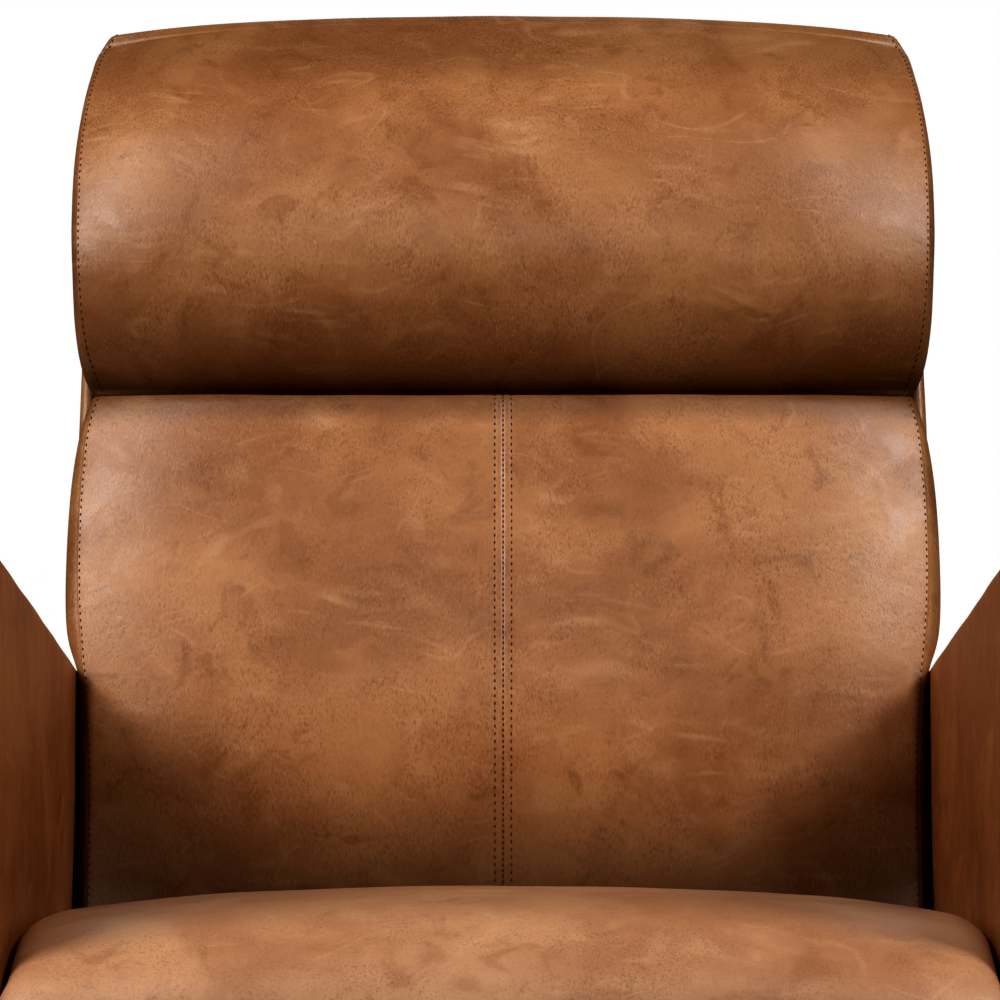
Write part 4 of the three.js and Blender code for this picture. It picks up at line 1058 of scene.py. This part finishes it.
# A closed outline of (radius, height) turned round Z
def turnedSkin(name, outline, steps, material):
    verts, faces = [], []
    count = len(outline)
    for n in range(steps):
        for m, (radius, z) in enumerate(outline):
            x, y = turned(radius, 0, 2 * math.pi * n / steps)
            verts.append((x * mm, y * mm, z * mm))
            a, b = n * count + m, n * count + (m + 1) % count
            c, d = (n + 1) % steps * count + (m + 1) % count, (n + 1) % steps * count + m
            faces.append((a, d, c, b))
    obj = makeObject(name, verts, faces, material)
    pointOutwards(obj)
    return obj


def shadeByAngle(obj, degrees=32):
    obj.data.polygons.foreach_set("use_smooth", [True] * len(obj.data.polygons))
    bm = bmesh.new()
    bm.from_mesh(obj.data)
    for edge in bm.edges:
        edge.smooth = len(edge.link_faces) != 2 or edge.calc_face_angle(0) < math.radians(degrees)
    bm.to_mesh(obj.data)
    bm.free()


def makeBase():
    b = baseSize
    ringRadius, ringZ, tube, bevel = b["ringRadius"], b["ringZ"], b["tube"], b["bevel"]
    circle = [(ringRadius + tube * math.cos(t), ringZ + tube * math.sin(t))
              for t in [2 * math.pi * n / 28 for n in range(28)]]
    dress(turnedSkin("baseRing", circle, 144, powderCoat), "base", "black_steel", "base_ring")

    # The strip under the ring: a cradle above, shallow ribs below
    low, high = ringRadius - b["stripHalf"], ringRadius + b["stripHalf"]
    outline = [(low, b["ribDepth"])]
    gaps = 2 * b["ribs"] + 1
    for n in range(gaps):
        left, right = low + 2 + (high - low - 4) * n / gaps, low + 2 + (high - low - 4) * (n + 1) / gaps
        foot = 0 if n % 2 == 0 else b["ribDepth"]
        outline += [(left + 0.2, foot), (right - 0.2, foot)]
    outline += [(high, b["ribDepth"]), (high, b["stripTop"])]
    for n in range(9):
        turn = math.radians(-50 - 80 * n / 8)
        outline.append((ringRadius + (tube + 0.2) * math.cos(turn), ringZ + (tube + 0.2) * math.sin(turn)))
    outline.append((low, b["stripTop"]))
    strip = turnedSkin("floorStrip", outline, 144, rubber)
    strip.data.polygons.foreach_set("use_smooth", [False] * len(strip.data.polygons))
    dress(strip, "base", "strip", "floor_strip")

    # The spider: a bored hub with its plate, and four flat bars that run down into the ring
    hubRadius, foot, plate, top = b["hubRadius"], b["hubFoot"], b["plateRadius"], b["hubTop"]
    under = top - b["plate"]
    spider = turnedSkin("baseSpider", [
        (b["bore"], foot), (hubRadius - bevel, foot), (hubRadius, foot + bevel), (hubRadius, under),
        (plate - bevel, under), (plate, under + bevel), (plate, top - bevel), (plate - bevel, top),
        (b["bore"], top)], 64, powderCoat)
    rootZ = (foot + under) / 2
    half, wide = b["spokeDepth"] / 2, b["spokeHalf"]
    verts = [(x * mm, y * mm, z * mm)
             for x, middle in ((hubRadius - 8, rootZ), (hubRadius, rootZ), (ringRadius - 4, ringZ))
             for y, z in ((-wide, middle - half), (wide, middle - half), (wide, middle + half), (-wide, middle + half))]
    faces = [(a + m, a + (m + 1) % 4, a + 4 + (m + 1) % 4, a + 4 + m) for a in (0, 4) for m in range(4)]
    for n in range(4):
        bar = makeObject("bar", verts, [*faces, (3, 2, 1, 0), (8, 9, 10, 11)], powderCoat)
        pointOutwards(bar)
        for v in bar.data.vertices:
            v.co.x, v.co.y = turned(v.co.x, v.co.y, math.pi / 2 * n)
        union = spider.modifiers.new("bar", "BOOLEAN")
        union.operation, union.solver, union.object = "UNION", "EXACT", bar
        freeze(spider)
        bpy.data.objects.remove(bar)
    rounding = spider.modifiers.new("edges", "BEVEL")
    rounding.width, rounding.segments = b["edge"], 2
    rounding.limit_method, rounding.angle_limit = "ANGLE", math.radians(35)
    freeze(spider)
    dress(spider, "base", "black_steel", "base_spider")
    shadeByAngle(spider)


makeBase()


# Wire along paths: corners rounded, then given its thickness
def wireTree():
    tree, add, given = newTree("wire", Radius="Float", Corner="Float", Steps="Int", Sides="Int", Finish="Material")
    soft = add("GeometryNodeFilletCurve", {
        "Curve": given["Geometry"], "Radius": given["Corner"], "Count": given["Steps"], "Limit Radius": True},
        mode="POLY")
    ring = add("GeometryNodeCurvePrimitiveCircle", {"Resolution": given["Sides"], "Radius": given["Radius"]})
    tube = add("GeometryNodeCurveToMesh", {"Curve": soft, "Profile Curve": ring, "Fill Caps": True})
    endTree(add, tube, given["Finish"])
    return tree


# Rippled weld bead along closed paths: the radius swells and falls once in each ripple
def weldTree():
    tree, add, given = newTree("weld", Radius="Float", Ripple="Float", Swell="Float", Step="Float",
                               Finish="Material")
    even = add("GeometryNodeResampleCurve", {"Curve": given["Geometry"], "Length": given["Step"]}, mode="LENGTH")
    along = add("GeometryNodeSplineParameter").outputs["Length"]
    turn = add("Math", (add("Math", (along, given["Ripple"]), **over), 2 * math.pi), **times)
    wave = add("Math", (add("Math", (turn,), operation="SINE"), given["Swell"]), **times)
    bead = add("GeometryNodeSetCurveRadius", {"Curve": even, "Radius": add("Math", (wave, 1.0), **plus)})
    ring = add("GeometryNodeCurvePrimitiveCircle", {"Resolution": 8, "Radius": given["Radius"]})
    endTree(add, add("GeometryNodeCurveToMesh", {"Curve": bead, "Profile Curve": ring}), given["Finish"])
    return tree


wires = wireTree()
weldBead = {
    "Radius": 2.6 * mm, "Ripple": 2.4 * mm, "Swell": 0.16, "Step": 0.6 * mm,
    # Radius and height over and under a bar, at the hub and at the ring
    "ends": (((30.5, 83), (30.5, 69)), ((252.3, 27.9), (250.1, 14.1))),
}
seatSprings = {
    "places": (-165, -82.5, 0, 82.5, 165), "half": 25, "rows": 16, "start": -310.2, "end": 173.2, "z": 332.15,
    "Radius": 1.8 * mm, "Corner": 11 * mm, "Steps": 5, "Sides": 8,
}
rockSprings = {
    "x": 55, "y": 72, "radius": 14, "turns": 4.5, "low": 135.4, "high": 208.6, "perTurn": 22,
    "Radius": 3 * mm, "Corner": 0.0, "Steps": 1, "Sides": 10,
}


def makeWelds():
    half = baseSize["spokeHalf"]
    paths = []
    for n in range(4):
        for end in weldBead["ends"]:
            paths.append([Vector((*turned(x, y, math.pi / 2 * n), z)) * mm
                          for (x, z), sides in zip(end, ((-half, half), (half, -half))) for y in sides])
    beads = runTree(weldTree(), pathObject("baseWelds", paths, cyclic=True), {**weldBead, "Finish": powderCoat})
    dress(beads, "base", "black_steel")


def makeSprings():
    s = seatSprings
    step = (s["end"] - s["start"]) / s["rows"]
    reach = s["half"] - s["Radius"] / mm
    paths = []
    for x in s["places"]:
        path = []
        for n in range(s["rows"] + 1):
            side = reach if n % 2 == 0 else -reach
            path += [Vector((x + d, s["start"] + n * step, s["z"])) * mm for d in (-side, side)]
        paths.append(path)
    springs = runTree(wires, pathObject("seatSprings", paths), {**s, "Finish": springSteel})
    dress(springs, "chair", "black_steel", *[f"seat_spring_{n + 1}" for n in range(5)])

    r = rockSprings
    count = round(r["turns"] * r["perTurn"])
    paths = []
    for sx, sy in ((-1, -1), (-1, 1), (1, -1), (1, 1)):
        path = []
        for rise in [n / count for n in range(count + 1)]:
            x, y = turned(r["radius"], 0, 2 * math.pi * r["turns"] * rise)
            rise -= 0.018 * math.sin(2 * math.pi * rise)  # closer at the ends
            path.append(Vector((sx * r["x"] + x, sy * r["y"] + y, r["low"] + (r["high"] - r["low"]) * rise)) * mm)
        paths.append(path)
    coils = runTree(wires, pathObject("rockSprings", paths), {**r, "Finish": springSteel})
    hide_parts(*[f"rock_spring_{a}_{b}" for a in ("front", "rear") for b in ("left", "right")])
    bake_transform(coils)


makeWelds()
makeSprings()


# Hexagon-headed bolts: at each point a head with a chamfered top over a washer face, and its shank behind it
def boltTree():
    tree, add, given = newTree("bolts", Head="Float", Height="Float", Shank="Float", Length="Float",
                               Finish="Material")
    head, height, length = given["Head"], given["Height"], given["Length"]
    washer = 0.8 * mm
    whole = add("GeometryNodeJoinGeometry")
    for kind, inputs, lift in (
            ("Cylinder", {"Vertices": 32, "Radius": add("Math", (head, 0.86), **times), "Depth": washer}, washer / 2),
            ("Cylinder", {"Vertices": 6, "Radius": head, "Depth": add("Math", (height, 0.74), **times)},
             add("Math", (add("Math", (height, 0.37), **times), washer), **plus)),
            ("Cone", {"Vertices": 6, "Radius Bottom": head, "Radius Top": add("Math", (head, 0.84), **times),
                      "Depth": add("Math", (height, 0.16), **times)},
             add("Math", (add("Math", (height, 0.74), **times), washer), **plus)),
            ("Cylinder", {"Vertices": 16, "Radius": given["Shank"], "Depth": length},
             add("Math", (length, -0.5), **times))):
        part = add("GeometryNodeTransform", {
            "Geometry": add("GeometryNodeMesh" + kind, inputs), "Translation": add("CombineXYZ", {"Z": lift})})
        tree.links.new(socketOf(part), whole.inputs[0])
    points = add("GeometryNodeMeshToPoints", {"Mesh": given["Geometry"]})
    facing = add("GeometryNodeInputNamedAttribute", {"Name": "facing"}, data_type="FLOAT_VECTOR")
    turn = add("FunctionNodeAlignRotationToVector", {"Vector": facing}, axis="Z")
    placed = add("GeometryNodeInstanceOnPoints", {"Points": points, "Instance": whole, "Rotation": turn})
    endTree(add, placed, given["Finish"])
    return tree


bolts = boltTree()
boltSets = [
    {"name": "mountBolts", "places": [(sx * 122.5, sy * 105, 211.6) for sx in (-1, 1) for sy in (-1, 1)],
     "facings": [(0, 0, -1)] * 4, "Head": 7 * mm, "Height": 6 * mm, "Shank": 4 * mm, "Length": 46 * mm,
     "nodes": [f"mount_bolt_{a}_{b}" for a in ("front", "rear") for b in ("left", "right")]},
    {"name": "armBolts", "places": [(sx * 254.8, y, 285) for sx in (-1, 1) for y in (-250, -70)],
     "facings": [(-sx, 0, 0) for sx in (-1, 1) for _ in range(2)], "Head": 9 * mm, "Height": 5 * mm,
     "Shank": 5 * mm, "Length": 57 * mm,
     "nodes": [f"arm_bolt_{side}_{n}" for side in ("left", "right") for n in (1, 2)]},
]
for boltSet in boltSets:
    points = makeObject(boltSet["name"], [Vector(p) * mm for p in boltSet["places"]], [], zinc)
    attribute = points.data.attributes.new("facing", "FLOAT_VECTOR", "POINT")
    for value, facing in zip(attribute.data, boltSet["facings"]):
        value.vector = facing
    made = runTree(bolts, points, {**boltSet, "Finish": zinc})
    pointOutwards(made)
    shadeByAngle(made)
    dress(made, "chair", "zinc_steel", *boltSet["nodes"])


# Finishes for the parts of the frame that are shown as they are modelled
finishes = {
    "wood": pine, "black_steel": powderCoat, "zinc_steel": zinc, "rubber": rubber, "nylon": nylon,
    "webbing": webbing, "liner": liner, "leather": leather, "strip": rubber,
}
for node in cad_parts.values():
    for slot in node.material_slots:
        slot.material = finishes[slot.material.name.split(".")[0]]
print("frame finished")
